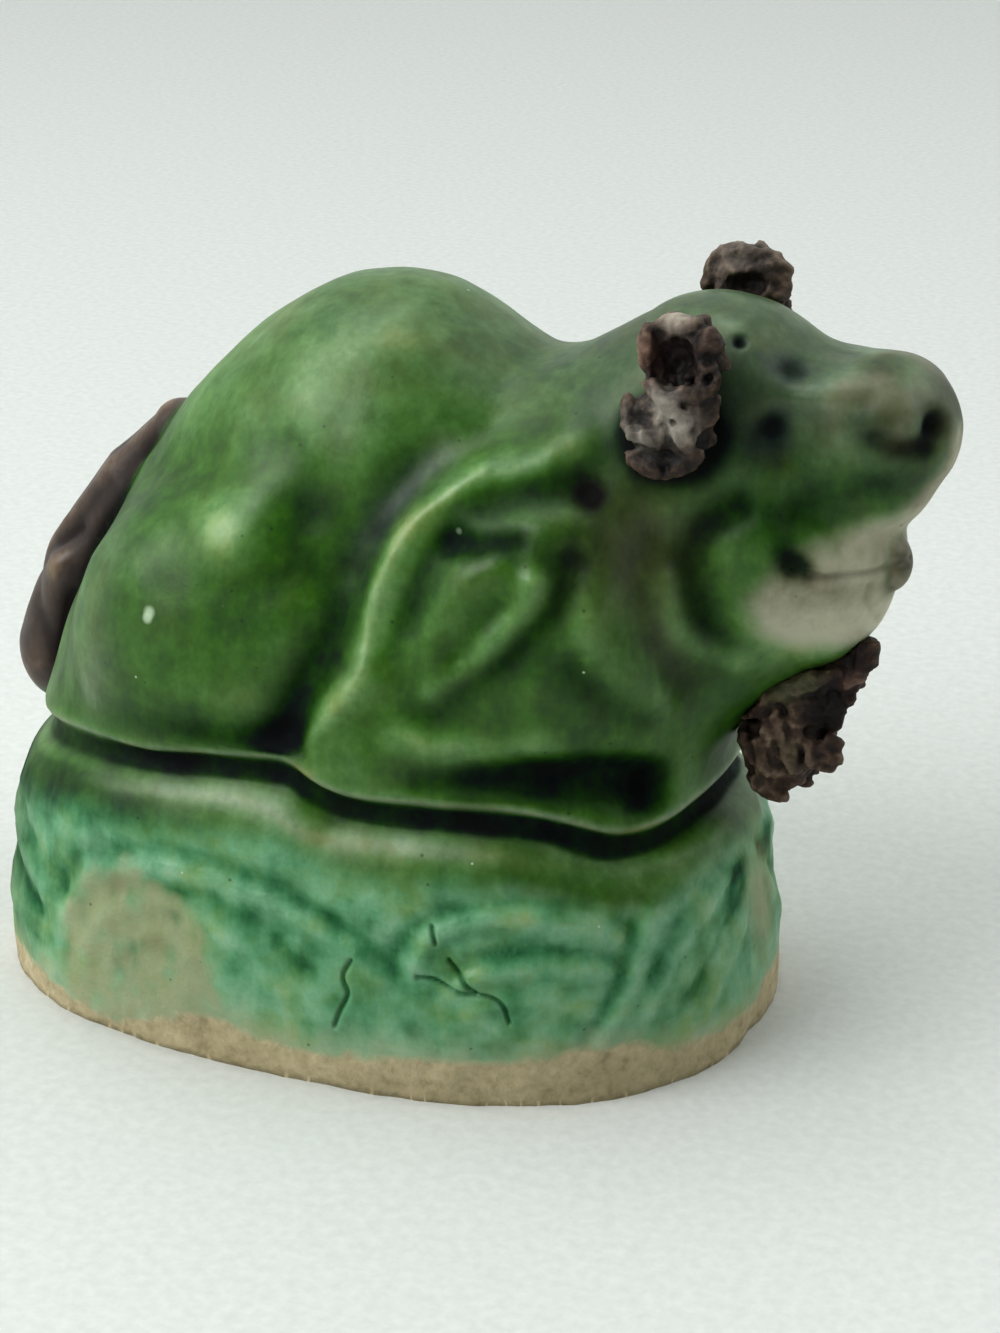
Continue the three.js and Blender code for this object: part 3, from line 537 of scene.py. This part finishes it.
# Painted reflection: a pale grey band along the haunch's rear edge, where the glaze mirrors the pale surroundings,
# painted as ash tone and thinner glaze.
rear_edge_reflection = [(-16.4, 14.9, 24), (-15, 15.6, 27), (-15.6, 14.9, 31), (-15.2, 14, 34.5)]
ash = np.maximum(ash, brush(rear_edge_reflection, 2.0, 0.75, 0.4))
thickness -= brush(rear_edge_reflection, 2.2, 0.12, 0.1)
turn = np.arctan2(y, x)
bare_top = 2.3 + 0.7 * np.sin(3 * turn + 0.6) + 0.5 * np.sin(7 * turn + 2.0)
near_top = np.interp(x, (-24, -19, -13.5, -11, -5.5, -0.8, 3, 9, 16.4, 21, 23.7, 25.7, 28),
                     (2.2, 1.6, 0.5, 1.6, 3.4, 2.5, 2.2, 3, 3.2, 4.1, 3.9, 2.6, 2.2))
bare_top = np.where(y < 0, near_top, bare_top)
bare = 1 - ramp(z - bare_top + 0.35 * grain(surface, 1.6, 6.0), -0.5, 0.9)
fan = np.hypot((x + 11.2) / 7.4, (z - 4.6) / 9.5) + 0.14 * grain(surface, 2.0, 8.0)
worn = (y < 0) * (1 - ramp(fan, 0.78, 1.06)) * (0.86 + 0.7 * grain(surface, 1.1, 14.0))
worn = np.maximum(worn, 0.95 * bell(np.linalg.norm((surface - [28.4, 0.6, 9.8]) / [2.6, 3.2, 5.2], axis=1), 1.0))
thickness += 0.24 * bell(np.linalg.norm((surface - [-21.4, -16, 5.2]) / [3, 3.6, 3.2], axis=1), 1.0)
thickness += 0.06 * (1 - ramp(x, -4, 4)) * (1 - ramp(z, 36, 46)) * ramp(z, 20, 23) - dot(m, (31.4, 5.6, 46.8), 1.4, 0.14)
middle = bell(x - 2, 9)
worn = np.maximum(worn, 0.56 * (1 - ramp(z - bare_top, 0, 3.6 + 1.4 * middle)))
thickness -= 0.07 * middle * (1 - ramp(z, 5, 9))
worn = ramp(worn + 0.2 * grain(surface, 1.4, 8.0), 0.12, 0.95)
ash = np.maximum(ash, 0.9 * bell(np.linalg.norm((surface - [25.7, 5, 15.9]) / [3, 5, 2.4], axis=1), 1.0))
stain = np.max([stroke(surface, crack, 0.14, s, 0.8) for crack, s in zip(CRACKS, (0.35, 0.9, 0.5, 0.4))], axis=0)
stain = np.maximum(stain, stroke(surface, LIP_LINE, 0.25, 0.4))
thickness += crust * (0.22 + 0.4 * grain(surface, 0.9, 23.0) - thickness)
cream *= 1 - 0.95 * crust
olive = np.maximum(olive, crust)
for name, values in (
    ("thickness", thickness), ("turquoise", turquoise), ("aubergine", np.maximum(aubergine, 0.2 * crust)), ("olive", olive),
    ("cream", cream), ("ash", ash), ("bare", bare), ("worn", worn), ("stain", stain),
):
    attribute_layer = dog.data.attributes.new(name, "FLOAT", "POINT")
    attribute_layer.data.foreach_set("value", np.clip(values, 0, 1).astype(np.float32))


def linear(hex_colour):
    parts = [int(hex_colour[i : i + 2], 16) / 255 for i in (1, 3, 5)]
    return (*[c / 12.92 if c <= 0.04045 else ((c + 0.055) / 1.055) ** 2.4 for c in parts], 1.0)


def node(tree, kind, settings=None, **inputs):
    """Adds a node, sets its settings, and joins or sets its inputs by name, or by i and number."""
    made = tree.nodes.new(kind)
    for name, value in (settings or {}).items():
        if name == "stops":
            ramp_stops = made.color_ramp.elements
            while len(ramp_stops) < len(value):
                ramp_stops.new(1)
            for element, (place, colour) in zip(ramp_stops, value):
                element.position = place
                element.color = linear(colour) if isinstance(colour, str) else (colour, colour, colour, 1)
        else:
            setattr(made, name, value)
    for name, value in inputs.items():
        socket = made.inputs[int(name[1:])] if name[1:].isdigit() else made.inputs[name.replace("_", " ")]
        if isinstance(value, bpy.types.NodeSocket):
            tree.links.new(value, socket)
        else:
            socket.default_value = linear(value) if isinstance(value, str) else value
    return made


def material(name):
    made = bpy.data.materials.new(name)
    made.use_nodes = True
    made.node_tree.nodes.clear()
    return made, made.node_tree


# Lead glaze over buff earthenware: copper green on the animal, thinner and bluer on the plinth, manganese aubergine
# on the tail. It gives a soft deep gloss with a broad highlight, cloudy colour, pinholes and specks of dust.
glazed, tree = material("lead_glazed_earthenware")
place = node(tree, "ShaderNodeTexCoord").outputs["Object"]


def attribute_of(name):
    return node(tree, "ShaderNodeAttribute", {"attribute_name": name}).outputs["Fac"]


def cloud(size_mm, detail=3.0, roughness=0.55, lacunarity=2.0):
    return node(tree, "ShaderNodeTexNoise", None, Vector=place, Scale=1000 / size_mm, Detail=detail,
                Roughness=roughness, Lacunarity=lacunarity).outputs["Fac"]


def sums(a, b, operation="ADD", c=None, clamp=False):
    extra = {} if c is None else {"i2": c}
    return node(tree, "ShaderNodeMath", {"operation": operation, "use_clamp": clamp}, i0=a, i1=b, **extra).outputs[0]


def mix(amount, under, over):
    made = node(tree, "ShaderNodeMix", {"data_type": "RGBA"}, i0=amount, i6=under, i7=over)
    return made.outputs[2]


def colours(value, *stops):
    return node(tree, "ShaderNodeValToRGB", {"stops": stops}, Fac=value).outputs["Color"]


broad = cloud(9.0, 2.0)
clouds = cloud(2.6, 4.0)
fine = cloud(0.7, 3.0)
glaze_depth_and_painted_light = sums(attribute_of("thickness"), sums(sums(broad, 0.5, "SUBTRACT"), 0.42, "MULTIPLY"))
glaze_depth_and_painted_light = sums(glaze_depth_and_painted_light, sums(sums(clouds, 0.5, "SUBTRACT"), 0.32, "MULTIPLY"))
drawn_out = node(tree, "ShaderNodeMapping", None, Vector=place, Scale=(1, 1, 0.3)).outputs["Vector"]
runs = node(tree, "ShaderNodeTexNoise", None, Vector=drawn_out, Scale=1000 / 1.4, Detail=3.0, Roughness=0.6).outputs["Fac"]
glaze_depth_and_painted_light = sums(glaze_depth_and_painted_light, sums(sums(runs, 0.5, "SUBTRACT"), 0.26, "MULTIPLY"))
glaze_depth_and_painted_light = sums(glaze_depth_and_painted_light, sums(sums(fine, 0.5, "SUBTRACT"), 0.2, "MULTIPLY"), clamp=True)
leaf = colours(glaze_depth_and_painted_light, (0.0, "#86A56C"), (0.22, "#598640"), (0.4, "#3B6A14"), (0.54, "#265208"), (0.68, "#143A04"),
               (0.78, "#0B2414"), (0.9, "#060E10"))
ashen_and_sheen_colours = colours(glaze_depth_and_painted_light, (0.0, "#828F78"), (0.25, "#5F7358"), (0.42, "#4A5D42"), (0.6, "#34433A"), (0.8, "#172022"),
                (0.95, "#070B0E"))
sea = colours(glaze_depth_and_painted_light, (0.0, "#9DBB9C"), (0.25, "#7FB08B"), (0.42, "#639D74"), (0.58, "#458458"), (0.74, "#276240"),
              (0.88, "#12352A"), (1.0, "#060C10"))
brown_green = colours(glaze_depth_and_painted_light, (0.1, "#7C7B62"), (0.42, "#59583D"), (0.62, "#403E28"), (0.95, "#12100B"))
manganese = colours(glaze_depth_and_painted_light, (0.1, "#7A6852"), (0.3, "#4A382B"), (0.5, "#2C1F17"), (0.7, "#1A1210"), (0.95, "#0D0A0B"))
bare_lip = colours(glaze_depth_and_painted_light, (0.1, "#C4C2AC"), (0.35, "#A7A58E"), (0.55, "#88836D"), (0.8, "#30412B"))
bisque = colours(sums(clouds, fine, "MULTIPLY"), (0.08, "#968B6A"), (0.2, "#B3A787"), (0.4, "#C6BA9A"))
coat = mix(attribute_of("ash"), leaf, ashen_and_sheen_colours)
coat = mix(attribute_of("turquoise"), coat, sea)
iron = colours(cloud(4.2, 5.0, 0.65), (0.3, "#B9D2C8"), (0.48, "#FFFFFF"), (0.68, "#F2DF9A"))
coat = node(tree, "ShaderNodeMix", {"data_type": "RGBA", "blend_type": "MULTIPLY"}, i0=0.75, i6=coat, i7=iron).outputs[2]
coat = mix(attribute_of("olive"), coat, brown_green)
coat = mix(attribute_of("aubergine"), coat, manganese)
coat = mix(sums(attribute_of("worn"), 0.72, "MULTIPLY"), coat, "#A3A07E")
coat = mix(attribute_of("cream"), coat, bare_lip)

pits = node(tree, "ShaderNodeTexVoronoi", None, Vector=place, Scale=1000 / 2.2, Randomness=1.0).outputs["Distance"]
pinholes = colours(pits, (0.035, 1.0), (0.07, 0.0))
coat = mix(sums(pinholes, 0.55, "MULTIPLY"), coat, "#16201A")
motes = node(tree, "ShaderNodeTexVoronoi", None, Vector=place, Scale=1000 / 4.6, Randomness=1.0).outputs["Distance"]
dust = colours(motes, (0.014, 1.0), (0.026, 0.0))
coat = mix(sums(dust, 0.7, "MULTIPLY"), coat, "#C9D3C2")
BLEMISHES = (((10.7, -13.3, 39.1), 0.34), ((-10.5, -16.6, 31.4), 0.42), ((-10.6, -16.6, 31.0), 0.36),
             ((-5.0, -15.9, 34.3), 0.16), ((-5.1, -16.1, 33.4), 0.2), ((-5.0, -16.3, 32.6), 0.2),
             ((5.2, -17.3, 26.5), 0.18), ((3.8, -15.6, 30.9), 0.14))
for centre, radius in BLEMISHES:
    gap = node(tree, "ShaderNodeVectorMath", {"operation": "DISTANCE"}, i0=place, i1=[c * MM for c in centre])
    spot = colours(sums(gap.outputs["Value"], 1 / (radius * 4 * MM), "MULTIPLY"), (0.18, 1.0), (0.36, 0.0))
    coat = mix(sums(spot, 0.75, "MULTIPLY"), coat, "#B9CDB0")
bare_clay = sums(attribute_of("bare"), 1.0, "MULTIPLY")
bare_clay = colours(sums(bare_clay, sums(sums(fine, 0.5, "SUBTRACT"), 0.5, "MULTIPLY")), (0.25, 0.0), (0.75, 1.0))
coat = mix(bare_clay, coat, bisque)
coat = mix(attribute_of("stain"), coat, "#1A221C")

dull = node(tree, "ShaderNodeMath", {"operation": "MAXIMUM"}, i0=bare_clay, i1=sums(attribute_of("worn"), 0.55, "MULTIPLY"))
sheen = sums(dull.outputs[0], 0.50, "MULTIPLY", clamp=True)
roughness = sums(sums(sheen, 0.32), sums(clouds, 0.16, "MULTIPLY"))
roughness = sums(roughness, sums(attribute_of("cream"), 0.16, "MULTIPLY"), clamp=True)
silt = colours(attribute_of("thickness"), (0.5, 0.0), (0.85, 1.0))
roughness = sums(roughness, sums(silt, 0.3, "MULTIPLY"), clamp=True)
deep = colours(attribute_of("thickness"), (0.34, 0.0), (0.7, 1.0))
gloss = sums(0.5, sums(deep, 0.4, "MULTIPLY"), "SUBTRACT")
rough_wall = sums(sums(0.25, dull.outputs[0]), sums(attribute_of("turquoise"), 0.45, "MULTIPLY"))
ripple = sums(sums(clouds, 0.5, "MULTIPLY"), sums(fine, rough_wall, "MULTIPLY"))
skin_bump = node(tree, "ShaderNodeBump", None, Strength=0.35, Distance=0.00022, Height=ripple)
glaze = node(tree, "ShaderNodeBsdfPrincipled", None, Base_Color=coat, Roughness=roughness, IOR=1.6,
             Specular_IOR_Level=gloss, Normal=skin_bump.outputs["Normal"])
node(tree, "ShaderNodeOutputMaterial", None, Surface=glaze.outputs["BSDF"])
dog.data.materials.clear()
dog.data.materials.append(glazed)
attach(dog, "root")
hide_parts("foo_dog_on_plinth")

# The ears and the beard are tufts of clay crumbs and short strands, pressed on by hand and broken open since.
# They are unglazed or thinly washed with brown: matt, with painted shade in their hollows and painted light on their
# ridges, cream where the clay is bare.
crumbed, tree = material("sieved_brown_clay")
place = node(tree, "ShaderNodeTexCoord").outputs["Object"]
patches = cloud(1.8, 3.0)
fine = cloud(0.4, 3.0)
tone = sums(attribute_of("crest"), sums(sums(patches, 0.5, "SUBTRACT"), 0.6, "MULTIPLY"))
tone = sums(tone, sums(sums(fine, 0.5, "SUBTRACT"), 0.3, "MULTIPLY"), clamp=True)
clay = colours(tone, (0.05, "#0A0808"), (0.3, "#2A221E"), (0.5, "#503F33"), (0.7, "#786858"), (0.95, "#9A8E80"))
slip = colours(tone, (0.05, "#24201C"), (0.3, "#6A645C"), (0.5, "#96928A"), (0.8, "#B4B0A4"))
rust = colours(tone, (0.05, "#120908"), (0.3, "#281613"), (0.5, "#3D2822"), (0.7, "#6E5548"), (0.95, "#9C8574"))
moss = colours(tone, (0.05, "#0E0F08"), (0.3, "#26281A"), (0.5, "#45462E"), (0.8, "#6E6C50"))
clay = mix(attribute_of("rust"), clay, rust)
clay = mix(attribute_of("moss"), clay, moss)
clay = mix(attribute_of("slip"), clay, slip)
crumb_bump = node(tree, "ShaderNodeBump", None, Strength=0.5, Distance=0.0002, Height=fine)
shader = node(tree, "ShaderNodeBsdfPrincipled", None, Base_Color=clay, Roughness=0.58, IOR=1.5,
              Specular_IOR_Level=0.35, Normal=crumb_bump.outputs["Normal"])
node(tree, "ShaderNodeOutputMaterial", None, Surface=shader.outputs["BSDF"])


def balls(name, shapes, subdivisions=3):
    """One object of ellipsoids, each a centre, its radii and the way its longest axis points, in millimetres."""
    bpy.ops.object.select_all(action="DESELECT")
    for i, (centre, radii, way) in enumerate(shapes):
        turn = Vector(way).to_track_quat("Z", "Y").to_euler()
        bpy.ops.mesh.primitive_ico_sphere_add(subdivisions=subdivisions, radius=1, location=np.array(centre) * MM,
                                              scale=np.array(radii) * MM, rotation=turn)
        if i == 0:
            made = bpy.context.object
            made.name = made.data.name = name
            bpy.ops.object.transform_apply()
            bpy.ops.object.mode_set(mode="EDIT")
    bpy.ops.object.mode_set(mode="OBJECT")
    return made


def strand(a, b, radius):
    a, b = np.array(a, float), np.array(b, float)
    length = float(np.linalg.norm(b - a))
    return (a + b) / 2, (radius, radius, radius + length / 2), tuple((b - a) / max(length, 1e-6) + [0, 0, 1e-3])


def applied(piece, kind, **settings):
    bpy.ops.object.select_all(action="DESELECT")
    piece.select_set(True)
    bpy.context.view_layer.objects.active = piece
    step = piece.modifiers.new(kind.lower(), kind)
    for name, value in settings.items():
        setattr(step, name, value)
    bpy.ops.object.modifier_apply(modifier=step.name)


def tuft(name, cad_node, lumps, strands, hollows, tints, seed):
    """Presses strands and crumbs on lumps, breaks the hollows out, and lets the skin fuse and crumble."""
    random = np.random.default_rng(seed)
    shapes = [(centre, np.array(radii) * 0.9, (0, 0, 1)) for centre, radii in lumps]
    shapes += [strand(*s) for s in strands]
    for centre, radii in lumps:
        for _ in range(26):
            way = random.normal(0, 1, 3)
            way /= np.linalg.norm(way)
            size = random.uniform(0.3, 0.75)
            shapes.append((np.array(centre) + way * (np.array(radii) - 0.4 * size), (size, 0.7 * size, 0.6 * size),
                           tuple(way + random.normal(0, 0.4, 3))))
    piece = balls(name, shapes, 2)
    voxel = 0.18 * MM
    applied(piece, "REMESH", mode="VOXEL", voxel_size=voxel)
    cutter = balls("hollow_cutter", [(centre, radii, way) for centre, radii, way in hollows])
    applied(piece, "BOOLEAN", operation="DIFFERENCE", object=cutter)
    bpy.data.objects.remove(cutter)
    applied(piece, "REMESH", mode="VOXEL", voxel_size=voxel)
    p = points_of(piece)
    normals = np.zeros(p.size, np.float32)
    piece.data.vertices.foreach_get("normal", normals)
    normals = normals.reshape(-1, 3).astype(float)
    rough = 1 - 0.8 * np.max([bell(np.linalg.norm(p - c, axis=1), w) for layer, c, w, _ in tints if layer == "moss"]
                             or [np.zeros(len(p))], axis=0)
    push = 0.42 * (0.25 - np.abs(grain(p, 1.3, seed))) + 0.16 * (0.2 - np.abs(grain(p, 0.6, seed + 3)))
    p = p + normals * (rough * push)[:, None]
    low_corner, high_corner = (np.array(c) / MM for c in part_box(cad_node))
    p = np.clip(p, low_corner, high_corner)
    piece.data.vertices.foreach_set("co", (p * MM).astype(np.float32).ravel())
    piece.data.update()
    piece.data.shade_smooth()
    links = np.array([e.vertices for e in piece.data.edges])
    count = np.bincount(links.ravel(), minlength=len(p))
    even = p
    for _ in range(10):
        total = np.array([np.bincount(links[:, 0], even[links[:, 1], a], len(p)) for a in range(3)]).T
        total += np.array([np.bincount(links[:, 1], even[links[:, 0], a], len(p)) for a in range(3)]).T
        even = 0.4 * even + 0.6 * total / count[:, None]
    # Painted light and shade: the crumbs are painted lighter on their ridges and darker in their cavities and in the
    # broken-out hollows.
    crest = 0.34 - 1.8 * ((even - p) * normals).sum(1)
    for centre, radii, way in hollows:
        crest -= 0.32 * bell(np.linalg.norm((p - centre) / radii, axis=1), 0.9)
    worn = {"crest": crest, "rust": np.zeros(len(p)), "moss": np.zeros(len(p)), "slip": np.zeros(len(p))}
    for layer, centre, width, strength in tints:
        worn[layer] = worn[layer] + strength * bell(np.linalg.norm(p - centre, axis=1), width)
    for layer, values in worn.items():
        kept = piece.data.attributes.new(layer, "FLOAT", "POINT")
        kept.data.foreach_set("value", np.clip(values, 0, 1).astype(np.float32))
    piece.data.materials.append(crumbed)
    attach(piece, "root")
    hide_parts(cad_node)
    return piece


OUTWARD = (0, 0, 1)
tuft("right_ear_tuft", "ear_tuft_right",
     [((24.1, -7.3, 51.1), (2.7, 2.2, 2.6)), ((23.6, -9, 46.7), (3, 2.1, 3.1))],
     [((22.7, -8.4, 53), (24.9, -8.2, 53.2), 0.75), ((21.9, -8.8, 52.6), (22.2, -9.3, 50.3), 0.65),
      ((26, -8.5, 52.4), (26, -8.6, 52), 0.9), ((26, -9, 50.6), (26.2, -9.1, 49.6), 0.8),
      ((22.6, -10, 49.6), (24.6, -10, 49.2), 0.6), ((24.6, -10, 49.2), (26.2, -9.3, 49.1), 0.6),
      ((23, -10.2, 49.3), (24.6, -10.7, 47.8), 0.75), ((24.6, -10.7, 47.8), (25.4, -10.6, 46.2), 0.7),
      ((20.9, -9.6, 48.2), (21.2, -10, 46.6), 0.6), ((21.5, -10.4, 46.7), (22, -10.6, 46.3), 0.6),
      ((22.5, -10.7, 46.4), (23.3, -10.7, 46.1), 0.55), ((21.6, -10.1, 44.6), (23.6, -10.2, 43.9), 0.7),
      ((24.6, -10.1, 44.3), (25.8, -10, 45.4), 0.7), ((26.2, -9.5, 47.6), (26.2, -8.6, 48.5), 0.75),
      ((22.2, -8.4, 50.4), (23.2, -7.8, 49.2), 1.0)],
     [((23.9, -10, 51.2), (1.5, 2.1, 1.8), OUTWARD), ((22.1, -10.9, 47.9), (0.75, 1.5, 1.2), (-0.4, 0, 1)),
      ((23.9, -11.2, 45.2), (1.1, 1, 0.45), OUTWARD), ((25, -10.8, 48.7), (0.32, 0.7, 0.35), OUTWARD),
      ((24.5, -11.3, 47.6), (0.28, 0.6, 0.28), OUTWARD), ((26.3, -9.9, 50.2), (0.4, 0.8, 0.5), OUTWARD)],
     [("rust", (23.6, -8.6, 51.6), 2, 1.1), ("rust", (21.8, -9, 51.2), 1.2, 0.8), ("crest", (21.7, -9, 51.4), 1.1, 0.5),
      ("slip", (23.7, -8.4, 53.5), 1.2, 0.7), ("crest", (23.7, -8.6, 53.5), 1.1, 0.36),
      ("slip", (23.7, -10.5, 48.7), 1.1, 1), ("slip", (24.9, -10.8, 47.2), 1.1, 1), ("crest", (24.2, -10.8, 48.2), 1.6, 0.25),
      ("slip", (22.2, -10.6, 46.4), 1.1, 0.9), ("moss", (22.7, -10.8, 45.8), 0.8, 0.6), ("slip", (21.2, -9.8, 47.4), 0.8, 0.5),
      ("crest", (26, -8.8, 50.6), 1.8, -0.15), ("crest", (25.6, -10, 45.2), 1.2, -0.1),
      ("crest", (22.6, -10, 44.2), 1.6, -0.14)], 3)
tuft("left_ear_tuft", "ear_tuft_left",
     [((23.5, 6.4, 52), (3, 2.3, 2.8)), ((23.3, 8.9, 47.2), (2.7, 2, 2.9))],
     [((20.9, 5.6, 51.8), (21.3, 6, 53.4), 0.7), ((21.3, 6, 53.6), (22.8, 6.2, 54.2), 0.7),
      ((22.8, 5.6, 54.2), (24.8, 5.9, 54), 0.65), ((24.8, 6, 54), (26, 6.4, 53.2), 0.7),
      ((26, 6.2, 53), (26.2, 6.2, 51.6), 0.65), ((22.2, 10.1, 49.2), (24.9, 10, 48.8), 0.6),
      ((21.4, 9.9, 47.9), (21.8, 10.2, 45.9), 0.6), ((24.9, 10.2, 47.4), (24.6, 10.3, 45.4), 0.65),
      ((21.8, 7.8, 51), (21.6, 9.4, 48.6), 0.8), ((23.4, 8.2, 50.8), (23.5, 9.8, 48.8), 0.9),
      ((25.2, 7.8, 50.8), (25.1, 9.4, 48.6), 0.75)],
     [((24, 4.2, 52.3), (1.6, 1.8, 0.95), OUTWARD), ((23.3, 11.2, 47.2), (0.9, 1.2, 1.3), OUTWARD),
      ((23.8, 9.2, 51.6), (1, 1.5, 1.2), OUTWARD)],
     [("rust", (24, 4.6, 52.5), 1.8, 0.8), ("slip", (23.6, 10.2, 46), 1.2, 0.7), ("crest", (22.3, 5.6, 53.6), 1.2, 0.22), ("crest", (26, 6.2, 52.6), 1.4, 0.2),
      ("slip", (23.4, 6.6, 53.6), 2.4, 0.4)], 5)
tuft("beard_tuft_of_crumbs", "beard_tuft",
     [((29, 0, 21.8), (3.2, 2.9, 3.3)), ((30.6, 0, 25.6), (2.7, 2.7, 2.6)), ((33, 0, 27.9), (1.8, 2, 1.8)),
      ((34.7, -0.5, 29.6), (0.9, 1.3, 1.1))],
     [((28.4, -2.4, 26), (32.6, -1.9, 28.3), 0.8), ((34.3, -1, 28.2), (35.3, -0.9, 30.4), 0.7), ((34, -0.6, 29), (34.2, -0.6, 27.9), 0.9),
      ((27.6, -1.6, 19.6), (29.8, -1.9, 18.8), 0.7), ((33.1, -0.7, 26.3), (32.8, -0.7, 24.2), 0.75),
      ((33.6, -1.3, 27.6), (34.2, -1.1, 27.9), 0.5), ((33.6, -1, 26.7), (33.9, -0.9, 26.3), 0.55),
      ((27, -1.9, 24.3), (28.9, -2.5, 25.7), 0.5), ((29.3, -2.4, 25.2), (29.8, -2.6, 23.3), 0.6),
      ((30.4, -2.5, 26.2), (31, -2.4, 23.6), 0.6), ((28.1, -2.5, 22.8), (28.9, -2.6, 20.9), 0.55),
      ((26.9, -2.1, 23), (27.6, -2.2, 21.4), 0.5), ((30.4, -2.3, 22.9), (30.6, -2.2, 21.6), 0.9),
      ((28.6, -2.5, 24.4), (28.9, -2.6, 23.2), 0.5), ((31.6, -2.2, 23.2), (31.7, -2.2, 21.9), 0.65),
      ((32.6, -1.9, 22.9), (33.4, -1.8, 22.4), 0.7), ((33, -1.9, 23.6), (33.5, -1.6, 23.2), 0.5),
      ((32.2, -1.9, 21.8), (33, -1.7, 21.6), 0.55), ((28.2, -1, 20.1), (30.4, -1, 20), 0.85),
      ((32.2, 0.2, 23.4), (32, 0.6, 21.4), 0.7),
      ((27.4, 2, 24.2), (29.3, 2.4, 25.6), 0.6), ((28.2, 2.5, 23), (28.9, 2.4, 21), 0.6), ((30.4, 2.4, 24.9), (30.8, 2.2, 22.2), 0.6)],
     [((32.7, -2.5, 25.7), (0.95, 1.2, 1.5), (-0.25, 0, 1)), ((31.3, -3, 22.4), (0.3, 0.7, 0.8), OUTWARD),
      ((29.4, -3.3, 22), (0.25, 0.6, 1.1), OUTWARD), ((27.9, -3, 24), (0.4, 0.7, 0.5), OUTWARD)],
     [("moss", (29.6, -2.8, 26.8), 1.0, 1), ("moss", (31.4, -2.5, 27.8), 1.2, 1), ("crest", (30.6, -2.7, 27.3), 1.6, 0.2),
      ("rust", (32.6, -1.2, 25.6), 1.9, 1), ("rust", (34.6, -0.8, 29.6), 1.6, 1), ("crest", (34.2, -1.2, 28), 0.8, 0.35),
      ("rust", (28, -2.4, 25.1), 1.3, 0.6), ("moss", (30.5, -3, 22.6), 1.0, 0.4), ("rust", (29.5, 0, 23.5), 4.2, 0.5),
      ("crest", (29.2, -2, 20.4), 1.8, 0.1), ("crest", (29.6, -2.6, 24), 2.4, 0.12), ("crest", (32.7, -1.6, 25.6), 1.5, -0.6), ("crest", (34, -1.5, 29.6), 0.9, -0.5), ("crest", (29.5, -1.8, 23), 3.6, 0.1),
      ("rust", (33.8, -0.6, 27.8), 2, 0.8)], 9)

# A sheet of pale grey card lies under the figurine and fills the view.
# It is matt and nearly white, so the glaze mirrors it softly round its lower edge.
bpy.ops.object.select_all(action="DESELECT")
bpy.ops.mesh.primitive_circle_add(vertices=96, radius=1.6, fill_type="NGON", location=(0, 0, 0))
card = bpy.context.object
card.name = "pale_card"
matt, tree = material("matt_pale_card")
place = node(tree, "ShaderNodeTexCoord").outputs["Object"]
fibre = colours(cloud(0.9, 3.0), (0.3, "#CDD0CD"), (0.7, "#D6D9D6"))
paper = node(tree, "ShaderNodeBsdfPrincipled", None, Base_Color=fibre, Roughness=0.8, Specular_IOR_Level=0.2)
node(tree, "ShaderNodeOutputMaterial", None, Surface=paper.outputs["BSDF"])
card.data.materials.append(matt)

# Soft light: white walls that darken behind the camera, a broad panel at its left, one overhead, a weak fill.
world = bpy.data.worlds.new("white_surround")
world.use_nodes = True
tree = world.node_tree
sky_way = node(tree, "ShaderNodeTexCoord").outputs["Generated"]
to_camera = tuple((CAMERA_PLACE - CAMERA_TARGET).normalized())
behind = node(tree, "ShaderNodeVectorMath", {"operation": "DOT_PRODUCT"}, i0=sky_way, i1=to_camera).outputs["Value"]
walls = colours(behind, (0.1, "#F2F5F4"), (0.8, "#565955"))
surround = tree.nodes["Background"]
tree.links.new(walls, surround.inputs["Color"])
surround.inputs["Strength"].default_value = 1.1
bpy.context.scene.world = world


def panel(name, azimuth, elevation, distance, width, power):
    a, e = math.radians(azimuth), math.radians(elevation)
    target = Vector((0, 0, 0.03))
    light = bpy.data.objects.new(name, bpy.data.lights.new(name, "AREA"))
    light.data.shape = "DISK"
    light.data.size = width
    light.data.energy = power
    light.location = target + distance * Vector((math.cos(e) * math.cos(a), math.cos(e) * math.sin(a), math.sin(e)))
    light.rotation_euler = (target - light.location).to_track_quat("-Z", "Y").to_euler()
    bpy.context.collection.objects.link(light)


panel("left_panel", -130, 38, 0.6, 0.5, 2.8)
panel("top_panel", 165, 77, 0.7, 0.5, 1.3)
panel("right_fill", 15, 48, 0.7, 0.5, 0.8)

for data in bpy.data.meshes:
    if data.users == 0:
        bpy.data.meshes.remove(data)
